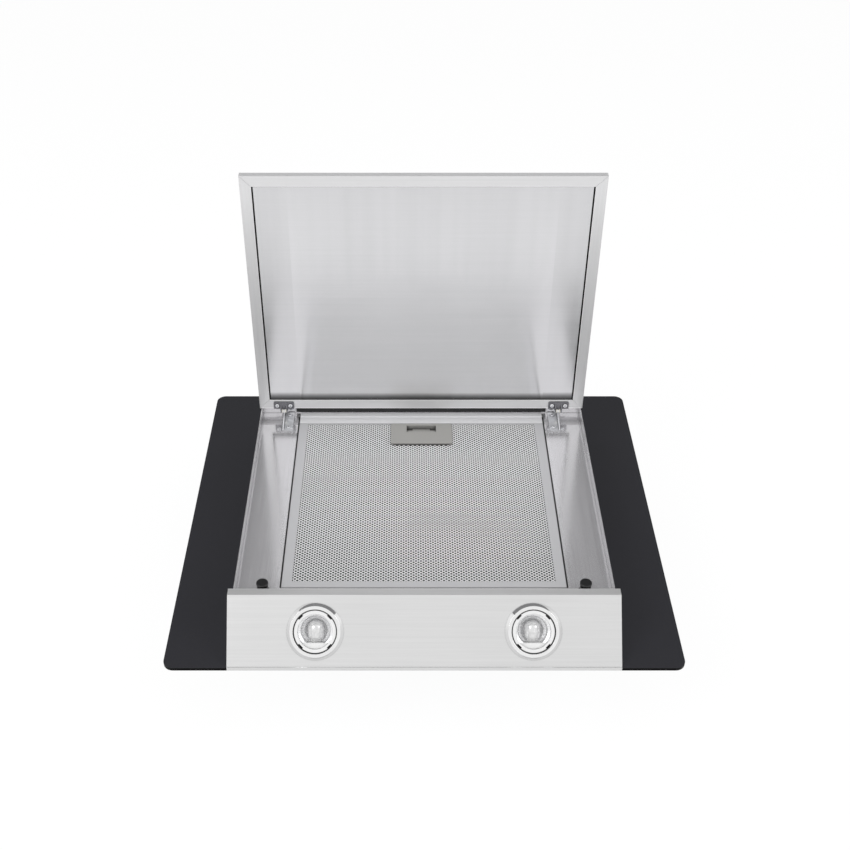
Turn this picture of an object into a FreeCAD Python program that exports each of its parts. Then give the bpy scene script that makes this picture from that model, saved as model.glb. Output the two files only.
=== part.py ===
import FreeCAD, Part
import os
from math import atan2, cos, degrees, hypot, pi, sin

# A 60 cm black-glass extractor, lying on its back with its suction side up and its lid swung open.
# Frame: X runs across it, +Y from the lamp band to the lid's hinges, +Z out of the suction side.
# The origin is under the middle of the glass, on the flat back of the blower housing.
# All sizes are in millimetres.

V = FreeCAD.Vector

# ---- driving dimensions -------------------------------------------------------------------

# glass plate
glass_w = 600.0
glass_d = 520.0
glass_t = 4.0
glass_corner_r = 12.0
cutout_corner_r = 6.0
cutout_margin = 15.0  # from the body's outer wall to the edge of the glass cut-out
cutout_ahead = 6.0  # from the housing's nose to the front edge of the cut-out
gasket_t = 0.8

# folded steel body on the glass
sheet_t = 1.0
body_w = 440.5
body_reach = 415.5  # from the glass's front edge to the outside of the back wall
rim_h = 62.5  # rim above the glass
floor_drop = 12.5  # filter floor below the rim
foot_w = 10.0  # foot flange that stands on the gasket
floor_tuck = 5.0  # how far the floor reaches under the lip

# sloped lamp band in front
band_side = 5.9  # how far the lamp band stands past the body on each side
band_run = 55.0  # depth of the slope, from the glass's front edge to the lip
lip_d = 10.0
band_foot = 13.0
fold_gap = 0.3  # between a folded sheet and the wall behind it

# lid
lid_t = 9.0
lid_side = 1.6  # how far the lid stands past the body on each side
lid_overhang = 3.2  # how far the closed lid reaches in front of the lip
rim_gap = 0.5  # between the closed lid and the rim
lid_lift = 2.2  # bottom edge of the open lid above the rim
flange_w = 14.0
liner_gap = 1.4
liner_end_gap = 0.6
liner_recess = 1.5
pad_inset = 4.0
mitre_w = 0.3

# lid hinges
hinge_inset = 31.6  # from the body's side to the middle of a hinge
leaf_t = 1.5
leaf_w = 28.0
leaf_h = 11.5
leaf_corner_r = 2.0
leaf_screw_pitch = 18.0
ear_pitch = 8.0
ear_rise = 7.0
knuckle_r = 2.5
pin_r = 1.25
pin_head_r = 2.1
pin_head_t = 0.8
pin_fit = 0.05
washer_gap = 0.1
bracket_l = 40.0
bracket_w = 14.0
bracket_back_gap = 1.0
bracket_toe = 2.0
bracket_screw_pitch = 26.0
bracket_screw_in = 6.5  # from the web to the screws
pilot_r = 0.9
pilot_in = 11.5
stop_gap = 0.3
stop_w = 9.0

# cross-recessed screws
screw_r = 1.5
screw_l = 5.0
screw_head_r = 2.7
screw_head_h = 1.3
screw_crown_r = 0.6
recess_w = 0.6
recess_span = 3.0
recess_depth = 0.7

# spring catches that hold the closed lid
catch_inset = 32.6  # from the body's side to a catch's axis
catch_set_back = 8.5  # from the lip to the catch's axis
catch_r = 6.4
catch_wall = 1.1
catch_base_t = 1.0
catch_lip_t = 1.0
catch_foot_r = 7.4
catch_foot_t = 1.2
catch_stud_r = 3.0
catch_stud_l = 3.0
catch_head_r = 7.0
catch_head_t = 2.5
catch_head_round = 1.2
catch_head_gap = 0.3  # between the pressed head and the sleeve
plunger_r = 4.5
plunger_flange_t = 1.0
catch_travel = 3.0
slide_fit = 0.05
catch_spring_wall = 0.9
plunger_gap = 0.3  # between a plunger's tip and the closed lid

# grease filter
filter_inset = 53.2  # from the body's side to the filter's
filter_t = 10.0
filter_front_gap = 14.0  # from the lip to the filter
filter_back_gap = 9.5  # from the back wall to the filter
seat_gap = 1.0
seat_ledge = 8.0
frame_wall = 1.0
frame_side = 12.0
frame_front = 10.0
frame_back = 17.0
mesh_t = 0.8
mesh_hole_r = 7.0
mesh_hole_pitch = 21.0
mesh_margin = 6.0

# filter handle and its latch
handle_w = 83.0
handle_d = 43.0
handle_t = 2.3
handle_corner_r = 1.5
recess_mouth_w = 40.0
recess_mouth_d = 14.0
recess_back = 4.0  # from the handle's back edge to the mouth of the recess
pocket_wall = 1.5
pocket_floor_gap = 0.2
pocket_ahead = 9.5  # pocket under the plate, ahead of the mouth
latch_gap = 0.3
latch_lip_d = 5.7
latch_bolt_w = 24.0
latch_bolt_t = 2.0
latch_travel = 6.0
latch_tip_gap = 3.0
latch_spring_r = 1.7
latch_spring_bore_r = 1.0
latch_spring_x = 12.0

# lamps
lamp_x = 125.0
bezel_r = 32.2
bezel_t = 1.8
bezel_bevel = 1.4
bezel_bore_r = 25.3
bezel_sleeve_l = 8.0
bezel_sleeve_wall = 0.8
retainer_gap = 0.7
retainer_bore_r = 20.2
retainer_t = 2.4
retainer_round_r = 0.8
notch_w = 6.5
notch_d = 2.2
lens_t = 2.0
lens_lap = 1.5
cup_wall = 0.8
cup_depth = 30.0
reflector_wall = 0.7
reflector_floor_r = 9.0
reflector_depth = 22.0
reflector_steps = 3
terrace_share = 0.35  # of each step's width that lies flat
terrace_fall = 0.8  # share of each step's drop that lies in its wall
bulb_r = 9.3
bulb_l = 25.0
bulb_z = -12.3  # the bulb's axis behind the band's face
bulb_foot = 3.0
bulb_foot_w = 13.0
bulb_tip_r = 8.4
chord_y = -13.4  # edge of the plain cover over the bulb's holder, down the slope from the middle
cover_t = 0.8
cover_gap = 0.3
holder_w = 20.0
holder_in = 1.2  # from the reflector's rim to the holder

# blower housing under the glass
housing_h = 156.0
housing_inset = 19.6  # from the body's side to the housing's
housing_front = 26.0  # from the glass's front edge
housing_nose_h = 24.0
housing_slope_foot = 140.0  # where the slope meets the flat back
housing_back = 396.0
flange_out = 21.0
flange_ahead = 19.0  # the flange in front of the housing's nose
wall_hole_r = 4.0
wall_hole_dx = 360.0
wall_hole_dy = 225.0
wall_hole_back = 16.0  # from the housing's rear wall to the rear pair of holes

# bolts that clamp the glass between the body and the housing
clamp_r = 2.0
clamp_head_r = 3.6
clamp_head_h = 2.4
clamp_nut_r = 3.6
clamp_nut_h = 3.0
clamp_count = 3
clamp_first = 110.0  # from the glass's front edge
clamp_pitch = 130.0

# blower
fan_y = 262.0  # from the glass's front edge
scroll_tongue_r = 95.0
scroll_mouth_r = 140.0
scroll_tongue_deg = 75.0
scroll_h = 100.0
scroll_t = 1.2
scroll_bottom = 20.0  # inside floor of the scroll above the flat back
scroll_arcs = 6
inlet_r = 66.0
inlet_lip = 9.0
fan_r = 85.0
fan_blade_d = 14.0
fan_blade_t = 1.2
fan_blade_tilt = 20.0
fan_blades = 30
fan_h = 74.0
fan_plate_t = 2.0
fan_clear = 6.0  # between the fan's back plate and the scroll's floor
fan_ring_w = 6.0
hub_gap = 5.0
hub_wall = 2.0
boss_r = 9.0
boss_h = 12.0
motor_r = 46.0
motor_h = 48.0
motor_crown_r = 6.0
motor_flange_r = 52.0
motor_flange_t = 3.0
shaft_r = 4.0
shaft_fit = 0.05
shaft_in = 30.0  # length of the shaft inside the motor
feet_r = 9.0
feet_reach = 100.0

# wiring parts
capacitor_size = (26.0, 52.0, 34.0)
terminal_size = (74.0, 52.0, 34.0)
wiring_inset = 88.0  # from the housing's side to the inner side of the wiring parts
wiring_corner_r = 2.0
terminal_y = 200.0
capacitor_y = 300.0
gland_r = 8.0
gland_bore_r = 4.2
gland_nut_r = 11.0
gland_nut_t = 5.0
gland_out = 14.0
gland_z = 60.0

# duct spigot and its backdraft flaps
spigot_r = 60.0
spigot_wall = 1.5
spigot_l = 60.0
spigot_z = 76.0
spigot_flange_w = 12.0
spigot_flange_t = 1.5
flap_back = 5.0  # from the housing's rear wall to the flaps' rods
flap_t = 1.2
flap_gap = 1.5
flap_rod_r = 1.5
flap_barrel_r = 2.6
flap_rod_x = 3.2
flap_fit = 0.05

# push-button switch on the body's right-hand wall
switch_y = 250.0
switch_z = 28.0
switch_l = 96.0
switch_h = 20.0
switch_face_t = 2.0
switch_lap = 3.0
switch_depth = 18.0
button_pitch = 22.0
button_l = 15.0
button_h = 9.0
button_out = 3.0
button_in = 5.0
button_travel = 2.0
button_gap = 0.3
buttons = ("button_off", "button_low", "button_high", "button_lamp")

# ---- places worked out from the sizes ------------------------------------------------------

front = -glass_d / 2
glass_z = housing_h  # underside of the glass
glass_top = glass_z + glass_t
body_z = glass_top + gasket_t
rim_z = glass_top + rim_h
floor_z = rim_z - floor_drop
under_floor = floor_z - sheet_t
body_x = body_w / 2
band_x = body_x + band_side
back_out = front + body_reach
back_in = back_out - sheet_t

lip_front = front + band_run
lip_back = lip_front + lip_d
slope_run = rim_h / band_run
band_angle = degrees(atan2(rim_h, band_run))
lamp_y = front + band_run / 2
lamp_z = glass_top + rim_h / 2

lid_w = body_w + 2 * lid_side
hinge_x = body_x - hinge_inset
hinge_y = back_in - lid_t - leaf_t
hinge_z = rim_z + rim_gap - leaf_t
lid_face = hinge_y + leaf_t  # inner face of the open lid's flange
lid_back = lid_face + lid_t
lid_z0 = rim_z + lid_lift
lid_shut_y = hinge_y - (lid_z0 - hinge_z)  # hinge end of the closed lid
lid_h = lid_shut_y - (lip_front - lid_overhang)
lid_z1 = lid_z0 + lid_h
liner_face = lid_face + liner_recess
liner_shut_z = hinge_z + leaf_t + liner_recess  # liner's height when the lid is closed

catch_x = body_x - catch_inset
catch_y = lip_back + catch_set_back

filter_y0 = lip_back + filter_front_gap
filter_y1 = back_in - filter_back_gap
filter_x = body_x - filter_inset
filter_z0 = floor_z - filter_t
mesh_z1 = floor_z - frame_wall
mesh_z0 = mesh_z1 - mesh_t
handle_y1 = filter_y1 - frame_back
handle_y0 = handle_y1 - handle_d
mouth_y1 = handle_y1 - recess_back
mouth_y0 = mouth_y1 - recess_mouth_d
pocket_y0 = mouth_y0 - pocket_ahead
pocket_z0 = filter_z0 + frame_wall + mesh_t + pocket_floor_gap
pocket_in_z0 = pocket_z0 + pocket_wall
pocket_x = recess_mouth_w / 2 + pocket_wall
latch_y0 = mouth_y0 + latch_gap
latch_z0 = pocket_in_z0 + latch_gap
latch_tip = back_in - latch_tip_gap

housing_x = body_x - housing_inset
cutout_x = body_x - cutout_margin
housing_y0 = front + housing_front
housing_y1 = front + housing_back
clamp_x = body_x - foot_w / 2 - sheet_t / 2
fan_cy = front + fan_y
scroll_tongue_x = scroll_tongue_r * cos(scroll_tongue_deg * pi / 180)
fan_cx = -(scroll_mouth_r + scroll_tongue_x) / 2
scroll_top = scroll_bottom + scroll_h
fan_z0 = scroll_bottom + fan_clear
fan_z1 = fan_z0 + fan_h
motor_top = scroll_bottom + motor_h
spigot_y1 = housing_y1 + spigot_l
flap_y = housing_y1 + flap_back

# ---- helpers -------------------------------------------------------------------------------


def box(x0, x1, y0, y1, z0, z1):
    return Part.makeBox(x1 - x0, y1 - y0, z1 - z0, V(x0, y0, z0))


def rod_z(r, x, y, z0, z1):
    return Part.makeCylinder(r, z1 - z0, V(x, y, z0))


def rod_x(r, x0, x1, y, z):
    return Part.makeCylinder(r, x1 - x0, V(x0, y, z), V(1, 0, 0))


def rod_y(r, x, y0, y1, z):
    return Part.makeCylinder(r, y1 - y0, V(x, y0, z), V(0, 1, 0))


def ring_z(r_out, r_in, x, y, z0, z1):
    return rod_z(r_out, x, y, z0, z1).cut(rod_z(r_in, x, y, z0, z1))


def join(shapes):
    return shapes[0].fuse(shapes[1:]).removeSplitter()


def upright_edges(shape):
    return [e for e in shape.Edges if abs(e.tangentAt(e.FirstParameter).z) > 0.99]


def rounded_plate(x0, x1, y0, y1, z0, z1, r):
    plate = box(x0, x1, y0, y1, z0, z1)
    return plate.makeFillet(r, upright_edges(plate))


def bar_x(outline, x0, x1):
    """A bar along X whose section is an outline of (y, z) points."""
    loop = [V(x0, y, z) for y, z in outline]
    return Part.Face(Part.makePolygon(loop + loop[:1])).extrude(V(x1 - x0, 0, 0))


def folded(path, t):
    """The outline of a sheet t thick, folded along a path, on the path's right-hand side."""
    normals = []
    for (y0, z0), (y1, z1) in zip(path, path[1:]):
        run = hypot(y1 - y0, z1 - z0)
        normals.append(((z1 - z0) / run, (y0 - y1) / run))
    inner = []
    for i, (y, z) in enumerate(path):
        a = normals[max(i - 1, 0)]
        b = normals[min(i, len(normals) - 1)]
        mitre = t / (1 + a[0] * b[0] + a[1] * b[1])
        inner.append((y + (a[0] + b[0]) * mitre, z + (a[1] + b[1]) * mitre))
    return path + inner[::-1]


def screw(seat, outward):
    """A pan-head screw: seat is under the head, outward points away from what it clamps."""
    head = Part.makeCylinder(screw_head_r, screw_head_h)
    crown = [e for e in head.Edges if e.BoundBox.ZMin > screw_head_h / 2]
    head = head.makeFillet(screw_crown_r, crown)
    shank = Part.makeCylinder(screw_r, screw_l, V(0, 0, -screw_l))
    slots = []
    for dx, dy in ((recess_span, recess_w), (recess_w, recess_span)):
        slots.append(box(-dx / 2, dx / 2, -dy / 2, dy / 2, screw_head_h - recess_depth, screw_head_h))
    whole = join([head, shank]).cut(slots)
    whole.Placement = FreeCAD.Placement(seat, FreeCAD.Rotation(V(0, 0, 1), outward))
    return whole


def mirrored(shape):
    return shape.mirror(V(0, 0, 0), V(1, 0, 0))


def save(name, shape):
    shape.exportStep(f"parts/{name}.step")


def save_pair(name, right):
    save(name + "_right", right)
    save(name + "_left", mirrored(right))


def save_both(name, right):
    """A left and right pair of identical small pieces, kept as one node."""
    save(name, Part.makeCompound([right, mirrored(right)]))


# ---- glass and its clamping ----------------------------------------------------------------


def clamp_places():
    return [(side * clamp_x, front + clamp_first + clamp_pitch * i)
            for side in (-1, 1) for i in range(clamp_count)]


def clamp_holes(z0, z1):
    return [rod_z(clamp_r, x, y, z0, z1) for x, y in clamp_places()]


def glass_panel():
    plate = rounded_plate(-glass_w / 2, glass_w / 2, front, -front, glass_z, glass_top, glass_corner_r)
    cutout = rounded_plate(-cutout_x, cutout_x, housing_y0 - cutout_ahead, back_out - cutout_margin,
                           glass_z, glass_top, cutout_corner_r)
    apron_x = band_x + fold_gap
    notch = box(-apron_x, apron_x, front, front + sheet_t + fold_gap, glass_z, glass_top)
    return plate.cut([cutout, notch] + clamp_holes(glass_z, glass_top))


def foot_frame(z0, z1):
    """The three-sided frame that stands on the glass: both sides and the back."""
    y0 = front + band_foot + sheet_t
    outer = box(-body_x, body_x, y0, back_out, z0, z1)
    inner = box(foot_w - body_x, body_x - foot_w, y0, back_out - foot_w, z0, z1)
    return outer.cut(inner)


def glass_gasket():
    return foot_frame(glass_top, body_z).cut(clamp_holes(glass_top, body_z))


def glass_fixings():
    top = body_z + sheet_t
    low = glass_z - sheet_t
    pieces = []
    for x, y in clamp_places():
        head = rod_z(clamp_head_r, x, y, top, top + clamp_head_h)
        shank = rod_z(clamp_r, x, y, low - clamp_nut_h, top)
        pieces.append(join([head, shank]))
        pieces.append(ring_z(clamp_nut_r, clamp_r, x, y, low - clamp_nut_h, low))
    return Part.makeCompound(pieces)


# ---- steel body and lamp band --------------------------------------------------------------


def under_slope(z):
    """The y where a wall under the lamp band's slope meets height z."""
    clear = (sheet_t + fold_gap) * hypot(1, slope_run)
    return front + (z - glass_top + clear) / slope_run


def side_wall(side):
    low = front + band_foot + sheet_t
    under_lip = rim_z - sheet_t - fold_gap
    cheek_z = glass_top + slope_run * (low - front) - (sheet_t + fold_gap) * hypot(1, slope_run)
    under_fold = lip_back - sheet_t - fold_gap
    outline = [(low, body_z), (low, cheek_z), (under_slope(under_lip), under_lip), (under_fold, under_lip),
               (under_fold, floor_z), (lip_back, floor_z), (lip_back, rim_z), (back_out, rim_z),
               (back_out, body_z)]
    x0, x1 = sorted((side * body_x, side * (body_x - sheet_t)))
    return bar_x(outline, x0, x1)


def filter_window(z0, z1):
    reach = filter_x + seat_gap
    return box(-reach, reach, filter_y0 - seat_gap, filter_y1 + seat_gap, z0, z1)


def body_tray():
    inner_x = body_x - sheet_t
    floor = box(-inner_x, inner_x, lip_back - floor_tuck, back_in, under_floor, floor_z)
    back = box(-body_x, body_x, back_in, back_out, body_z, rim_z)
    tray = join([side_wall(-1), side_wall(1), floor, back, foot_frame(body_z, body_z + sheet_t)])
    cuts = [filter_window(under_floor, floor_z), switch_module(button_gap)]
    cuts += clamp_holes(body_z, body_z + sheet_t)
    for side in (-1, 1):
        cuts += [rod_z(screw_r, side * x, y, under_floor, floor_z) for x, y in bracket_screw_places()]
        cuts.append(rod_z(catch_stud_r, side * catch_x, catch_y, under_floor, floor_z))
    return tray.cut(cuts)


def filter_seat():
    """The folded ledge, welded under the floor, that the filter lies on."""
    reach = filter_x + seat_gap + sheet_t
    y0 = filter_y0 - seat_gap - sheet_t
    y1 = filter_y1 + seat_gap + sheet_t
    outer = box(-reach, reach, y0, y1, filter_z0 - sheet_t, under_floor)
    well = filter_window(filter_z0, under_floor)
    inset = seat_gap + seat_ledge
    hole = box(inset - reach, reach - inset, y0 + inset, y1 - inset, filter_z0 - sheet_t, filter_z0)
    slot = box(-latch_bolt_w / 2 - latch_gap, latch_bolt_w / 2 + latch_gap, filter_y1, y1,
               latch_z0 - latch_gap, latch_z0 + latch_bolt_t + latch_gap)
    return outer.cut([well, hole, slot])


def on_band(shape, x):
    """Sets a lamp piece, made about +Z from the band's outer face at z = 0, onto the band."""
    shape.rotate(V(0, 0, 0), V(1, 0, 0), band_angle)
    shape.translate(V(x, lamp_y, lamp_z))
    return shape


def lamp_band():
    path = [(front + band_foot, glass_top), (front, glass_top), (lip_front, rim_z), (lip_back, rim_z),
            (lip_back, floor_z)]
    skin = bar_x(folded(path, sheet_t), -band_x, band_x)
    end = [(front, glass_top), (lip_front, rim_z), (lip_back, rim_z), (lip_back, glass_top)]
    apron = box(-band_x, band_x, front, front + sheet_t, glass_z, glass_top + sheet_t)
    pieces = [skin, apron]
    for side in (-1, 1):
        x0, x1 = sorted((side * band_x, side * (band_x - sheet_t)))
        pieces.append(bar_x(end, x0, x1))
        x0, x1 = sorted((side * band_x, side * (body_x + fold_gap)))
        pieces.append(box(x0, x1, lip_back - sheet_t, lip_back, glass_top, rim_z))
    hole_r = bezel_bore_r + bezel_sleeve_wall
    holes = [on_band(rod_z(hole_r, 0, 0, -2 * sheet_t, sheet_t), side * lamp_x) for side in (-1, 1)]
    return join(pieces).cut(holes)


# ---- lid -----------------------------------------------------------------------------------


def lid_screw_places():
    z = lid_z0 + leaf_h / 2
    return [(side * (hinge_x + step * leaf_screw_pitch / 2), z) for side in (-1, 1) for step in (-1, 1)]


def lid_box(inset_x, inset_z, y0, y1):
    return box(inset_x - lid_w / 2, lid_w / 2 - inset_x, y0, y1, lid_z0 + inset_z, lid_z1 - inset_z)


def mitre(x, z, turn):
    """A fine groove along one mitred corner of the lid's flange, just short of the lid's edge."""
    reach = flange_w * hypot(1, 1) + mitre_w
    groove = box(2 * sheet_t, reach, lid_face, lid_face + sheet_t / 2, -mitre_w / 2, mitre_w / 2)
    groove.rotate(V(0, 0, 0), V(0, 1, 0), turn)
    groove.translate(V(x, 0, z))
    return groove


def lid_tray():
    tray = lid_box(0, 0, lid_face, lid_back)
    cuts = [lid_box(sheet_t, sheet_t, lid_face + sheet_t, lid_back - sheet_t),
            lid_box(flange_w, flange_w, lid_face, lid_face + sheet_t)]
    corners = ((-1, lid_z0), (-1, lid_z1), (1, lid_z1), (1, lid_z0))
    cuts += [mitre(side * lid_w / 2, z, 90 * i - 45) for i, (side, z) in enumerate(corners)]
    cuts += [rod_y(screw_r, x, lid_face, lid_face + sheet_t, z) for x, z in lid_screw_places()]
    return tray.cut(cuts)


def lid_liner():
    return lid_box(flange_w + liner_gap, flange_w + liner_end_gap, liner_face, liner_face + sheet_t)


def lid_pad():
    """The damping pad that holds the liner to the lid's outer skin."""
    return lid_box(flange_w + pad_inset, flange_w + pad_inset, liner_face + sheet_t, lid_back - sheet_t)


# ---- hinges --------------------------------------------------------------------------------


def bracket_y():
    y1 = back_in - bracket_back_gap
    return y1 - bracket_l, y1


def bracket_screw_places():
    y0, y1 = bracket_y()
    middle = (y0 + y1) / 2
    x = hinge_x - leaf_t / 2 - bracket_screw_in
    return [(x, middle + step * bracket_screw_pitch / 2) for step in (-1, 1)]


def hinge_leaf():
    """The lid's half of the right-hand hinge, with its two ears."""
    plate = box(hinge_x - leaf_w / 2, hinge_x + leaf_w / 2, hinge_y, lid_face, lid_z0, lid_z0 + leaf_h)
    top = [e for e in plate.Edges if e.BoundBox.YLength > leaf_t / 2 and e.BoundBox.ZMin > lid_z0 + 1]
    plate = plate.makeFillet(leaf_corner_r, top)
    ear = [(hinge_y - knuckle_r, hinge_z), (lid_face, hinge_z), (lid_face, lid_z0 + knuckle_r),
           (hinge_y, lid_z0 + ear_rise), (hinge_y - knuckle_r, lid_z0 + knuckle_r)]
    pieces = [plate]
    for step in (-1, 1):
        x0 = hinge_x + step * ear_pitch / 2 - leaf_t / 2
        pieces.append(bar_x(ear, x0, x0 + leaf_t))
        pieces.append(rod_x(knuckle_r, x0, x0 + leaf_t, hinge_y, hinge_z))
    holes = [rod_y(screw_r, x, hinge_y, lid_face, z) for x, z in lid_screw_places() if x > 0]
    holes.append(rod_x(pin_r, hinge_x - ear_pitch, hinge_x + ear_pitch, hinge_y, hinge_z))
    return join(pieces).cut(holes)


def hinge_bracket():
    """The body's half of the right-hand hinge: web, foot and the tab that stops the open lid."""
    y0, y1 = bracket_y()
    stop_z = lid_z0 - stop_gap
    x1 = hinge_x + leaf_t / 2
    x0 = x1 - leaf_t
    stop_y0 = hinge_y + knuckle_r + sheet_t
    web = [(y0, floor_z), (y1, floor_z), (y1, stop_z), (stop_y0, stop_z), (stop_y0, hinge_z - knuckle_r),
           (hinge_y + knuckle_r, hinge_z - knuckle_r), (hinge_y + knuckle_r, hinge_z),
           (hinge_y - knuckle_r, hinge_z), (hinge_y - knuckle_r, hinge_z - knuckle_r),
           (y0, floor_z + bracket_toe)]
    foot = box(x1 - bracket_w, x1, y0, y1, floor_z, floor_z + leaf_t)
    tab = box(x1 - stop_w, x1, stop_y0, y1, stop_z - leaf_t, stop_z)
    knuckle = rod_x(knuckle_r, x0, x1, hinge_y, hinge_z)
    holes = [rod_z(screw_r, x, y, floor_z, floor_z + leaf_t) for x, y in bracket_screw_places()]
    holes.append(rod_z(pilot_r, x0 - pilot_in, bracket_screw_places()[0][1], floor_z, floor_z + leaf_t))
    holes.append(rod_x(pin_r + pin_fit, x0, x1, hinge_y, hinge_z))
    return join([bar_x(web, x0, x1), knuckle, foot, tab]).cut(holes)


def hinge_pin():
    reach = ear_pitch / 2 + leaf_t / 2
    shank = rod_x(pin_r, hinge_x - reach, hinge_x + reach, hinge_y, hinge_z)
    heads = [rod_x(pin_head_r, hinge_x + reach, hinge_x + reach + pin_head_t, hinge_y, hinge_z),
             rod_x(pin_head_r, hinge_x - reach - pin_head_t, hinge_x - reach, hinge_y, hinge_z)]
    return join([shank] + heads)


def hinge_washers():
    """Nylon washers that fill the play between each bracket's web and the ears."""
    t = ear_pitch / 2 - leaf_t - 2 * washer_gap
    pieces = []
    for side in (-1, 1):
        for step in (-1, 1):
            middle = side * hinge_x + step * ear_pitch / 4
            disc = rod_x(knuckle_r, middle - t / 2, middle + t / 2, hinge_y, hinge_z)
            pieces.append(disc.cut(rod_x(pin_r + pin_fit, middle - t, middle + t, hinge_y, hinge_z)))
    return Part.makeCompound(pieces)


def lid_hinge_screws():
    return Part.makeCompound([screw(V(x, hinge_y, z), V(0, -1, 0)) for x, z in lid_screw_places()])


def body_hinge_screws():
    seats = [V(side * x, y, floor_z + leaf_t) for side in (-1, 1) for x, y in bracket_screw_places()]
    return Part.makeCompound([screw(seat, V(0, 0, 1)) for seat in seats])


# ---- catches -------------------------------------------------------------------------------


def catch_levels():
    """Heights of the head's underside, of the sleeve's top and inner ledge, and of the plunger's flange."""
    head = liner_shut_z - plunger_gap - catch_head_t
    top = head - catch_travel - catch_head_gap
    ledge = top - catch_lip_t
    return head, top, ledge, ledge - plunger_flange_t


def catch_rod(r, z0, z1):
    return rod_z(r, catch_x, catch_y, z0, z1)


def catch_sleeve():
    _, top, ledge, _ = catch_levels()
    sleeve = join([catch_rod(catch_r, floor_z, top),
                   catch_rod(catch_foot_r, floor_z, floor_z + catch_foot_t),
                   catch_rod(catch_stud_r, floor_z - catch_stud_l, floor_z)])
    return sleeve.cut([catch_rod(catch_r - catch_wall, floor_z + catch_base_t, ledge),
                       catch_rod(plunger_r + slide_fit, ledge, top)])


def catch_plunger():
    """A button with a mushroom head, held in the sleeve by its flange."""
    head_z, _, ledge, low = catch_levels()
    head = catch_rod(catch_head_r, head_z, head_z + catch_head_t)
    crown = [e for e in head.Edges if e.BoundBox.ZMin > head_z + catch_head_t / 2]
    head = head.makeFillet(catch_head_round, crown)
    flange = catch_rod(catch_r - catch_wall - slide_fit, low, ledge - slide_fit)
    return join([flange, catch_rod(plunger_r, low, head_z), head])


def catch_spring():
    """The catch's spring at its pressed length, seated on the sleeve's base."""
    low = catch_levels()[-1]
    z0 = floor_z + catch_base_t
    z1 = low - catch_travel - slide_fit
    return catch_rod(plunger_r, z0, z1).cut(catch_rod(plunger_r - catch_spring_wall, z0, z1))


# ---- grease filter -------------------------------------------------------------------------


def filter_box(inset, z0, z1):
    return box(inset - filter_x, filter_x - inset, filter_y0 + inset, filter_y1 - inset, z0, z1)


def handle_well(gap, z0, z1):
    return box(-pocket_x - gap, pocket_x + gap, pocket_y0 - pocket_wall - gap,
               mouth_y1 + pocket_wall + gap, z0, z1)


def bolt_channel(gap, y0, y1):
    return box(-latch_bolt_w / 2 - gap, latch_bolt_w / 2 + gap, y0, y1, latch_z0 - gap,
               latch_z0 + latch_bolt_t + gap)


def filter_frame():
    window = box(frame_side - filter_x, filter_x - frame_side, filter_y0 + frame_front,
                 filter_y1 - frame_back, filter_z0, floor_z)
    cavity = filter_box(frame_wall, filter_z0 + frame_wall, mesh_z1)
    return filter_box(0, filter_z0, floor_z).cut(
        [cavity, window, bolt_channel(latch_gap, filter_y1 - frame_wall, filter_y1)])


def mesh_holes(z0, z1):
    """Holes in staggered rows that stand for the sheet's fine perforation."""
    x_reach = filter_x - frame_side - mesh_margin - mesh_hole_r
    y_low = filter_y0 + frame_front + mesh_margin + mesh_hole_r
    y_high = filter_y1 - frame_back - mesh_margin - mesh_hole_r
    row_pitch = mesh_hole_pitch * sin(pi / 3)
    rows = int((y_high - y_low) / row_pitch) + 1
    half = int(x_reach / mesh_hole_pitch)
    holes = []
    for row in range(rows):
        y = y_low + row * row_pitch
        shift = mesh_hole_pitch / 2 * (row % 2)
        for step in range(-half, half + 1):
            x = step * mesh_hole_pitch + shift
            near_handle = abs(x) < handle_w / 2 + mesh_hole_r and y > handle_y0 - mesh_hole_r
            if x < x_reach and not near_handle:
                holes.append(rod_z(mesh_hole_r, x, y, z0, z1))
    return holes


def filter_face_mesh():
    sheet = filter_box(frame_wall, mesh_z0, mesh_z1)
    return sheet.cut([handle_well(latch_gap, mesh_z0, mesh_z1)] + mesh_holes(mesh_z0, mesh_z1))


def filter_pack():
    """The knitted aluminium wool between the two sheets."""
    z0 = filter_z0 + frame_wall + mesh_t
    pad = filter_box(frame_wall, z0, mesh_z0)
    channel = bolt_channel(latch_gap, mouth_y1, filter_y1)
    return pad.cut([handle_well(latch_gap, z0, mesh_z0), channel])


def filter_back_mesh():
    z0 = filter_z0 + frame_wall
    return filter_box(frame_wall, z0, z0 + mesh_t)


def filter_handle():
    plate = rounded_plate(-handle_w / 2, handle_w / 2, handle_y0, handle_y1, mesh_z1, mesh_z1 + handle_t,
                          handle_corner_r)
    well = handle_well(0, pocket_z0, mesh_z1)
    pocket = box(-recess_mouth_w / 2, recess_mouth_w / 2, pocket_y0, mouth_y1, pocket_in_z0, mesh_z1)
    mouth = box(-recess_mouth_w / 2, recess_mouth_w / 2, mouth_y0, mouth_y1, mesh_z1, mesh_z1 + handle_t)
    slot = bolt_channel(latch_gap, mouth_y1, mouth_y1 + pocket_wall)
    return join([plate, well]).cut([pocket, mouth, slot])


def filter_latch():
    half = recess_mouth_w / 2 - latch_gap
    lip = box(-half, half, latch_y0, latch_y0 + latch_lip_d, latch_z0, mesh_z1 - latch_gap)
    bolt = box(-latch_bolt_w / 2, latch_bolt_w / 2, latch_y0, latch_tip, latch_z0, latch_z0 + latch_bolt_t)
    return join([lip, bolt])


def latch_spring():
    """One of the latch's springs at its pressed length, seated in the handle's pocket."""
    z = (latch_z0 + mesh_z1) / 2
    y1 = latch_y0 - latch_travel - latch_gap
    coil = rod_y(latch_spring_r, latch_spring_x, pocket_y0, y1, z)
    return coil.cut(rod_y(latch_spring_bore_r, latch_spring_x, pocket_y0, y1, z))


# ---- lamps, made about +Z with the band's outer face at z = 0 --------------------------------


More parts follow.
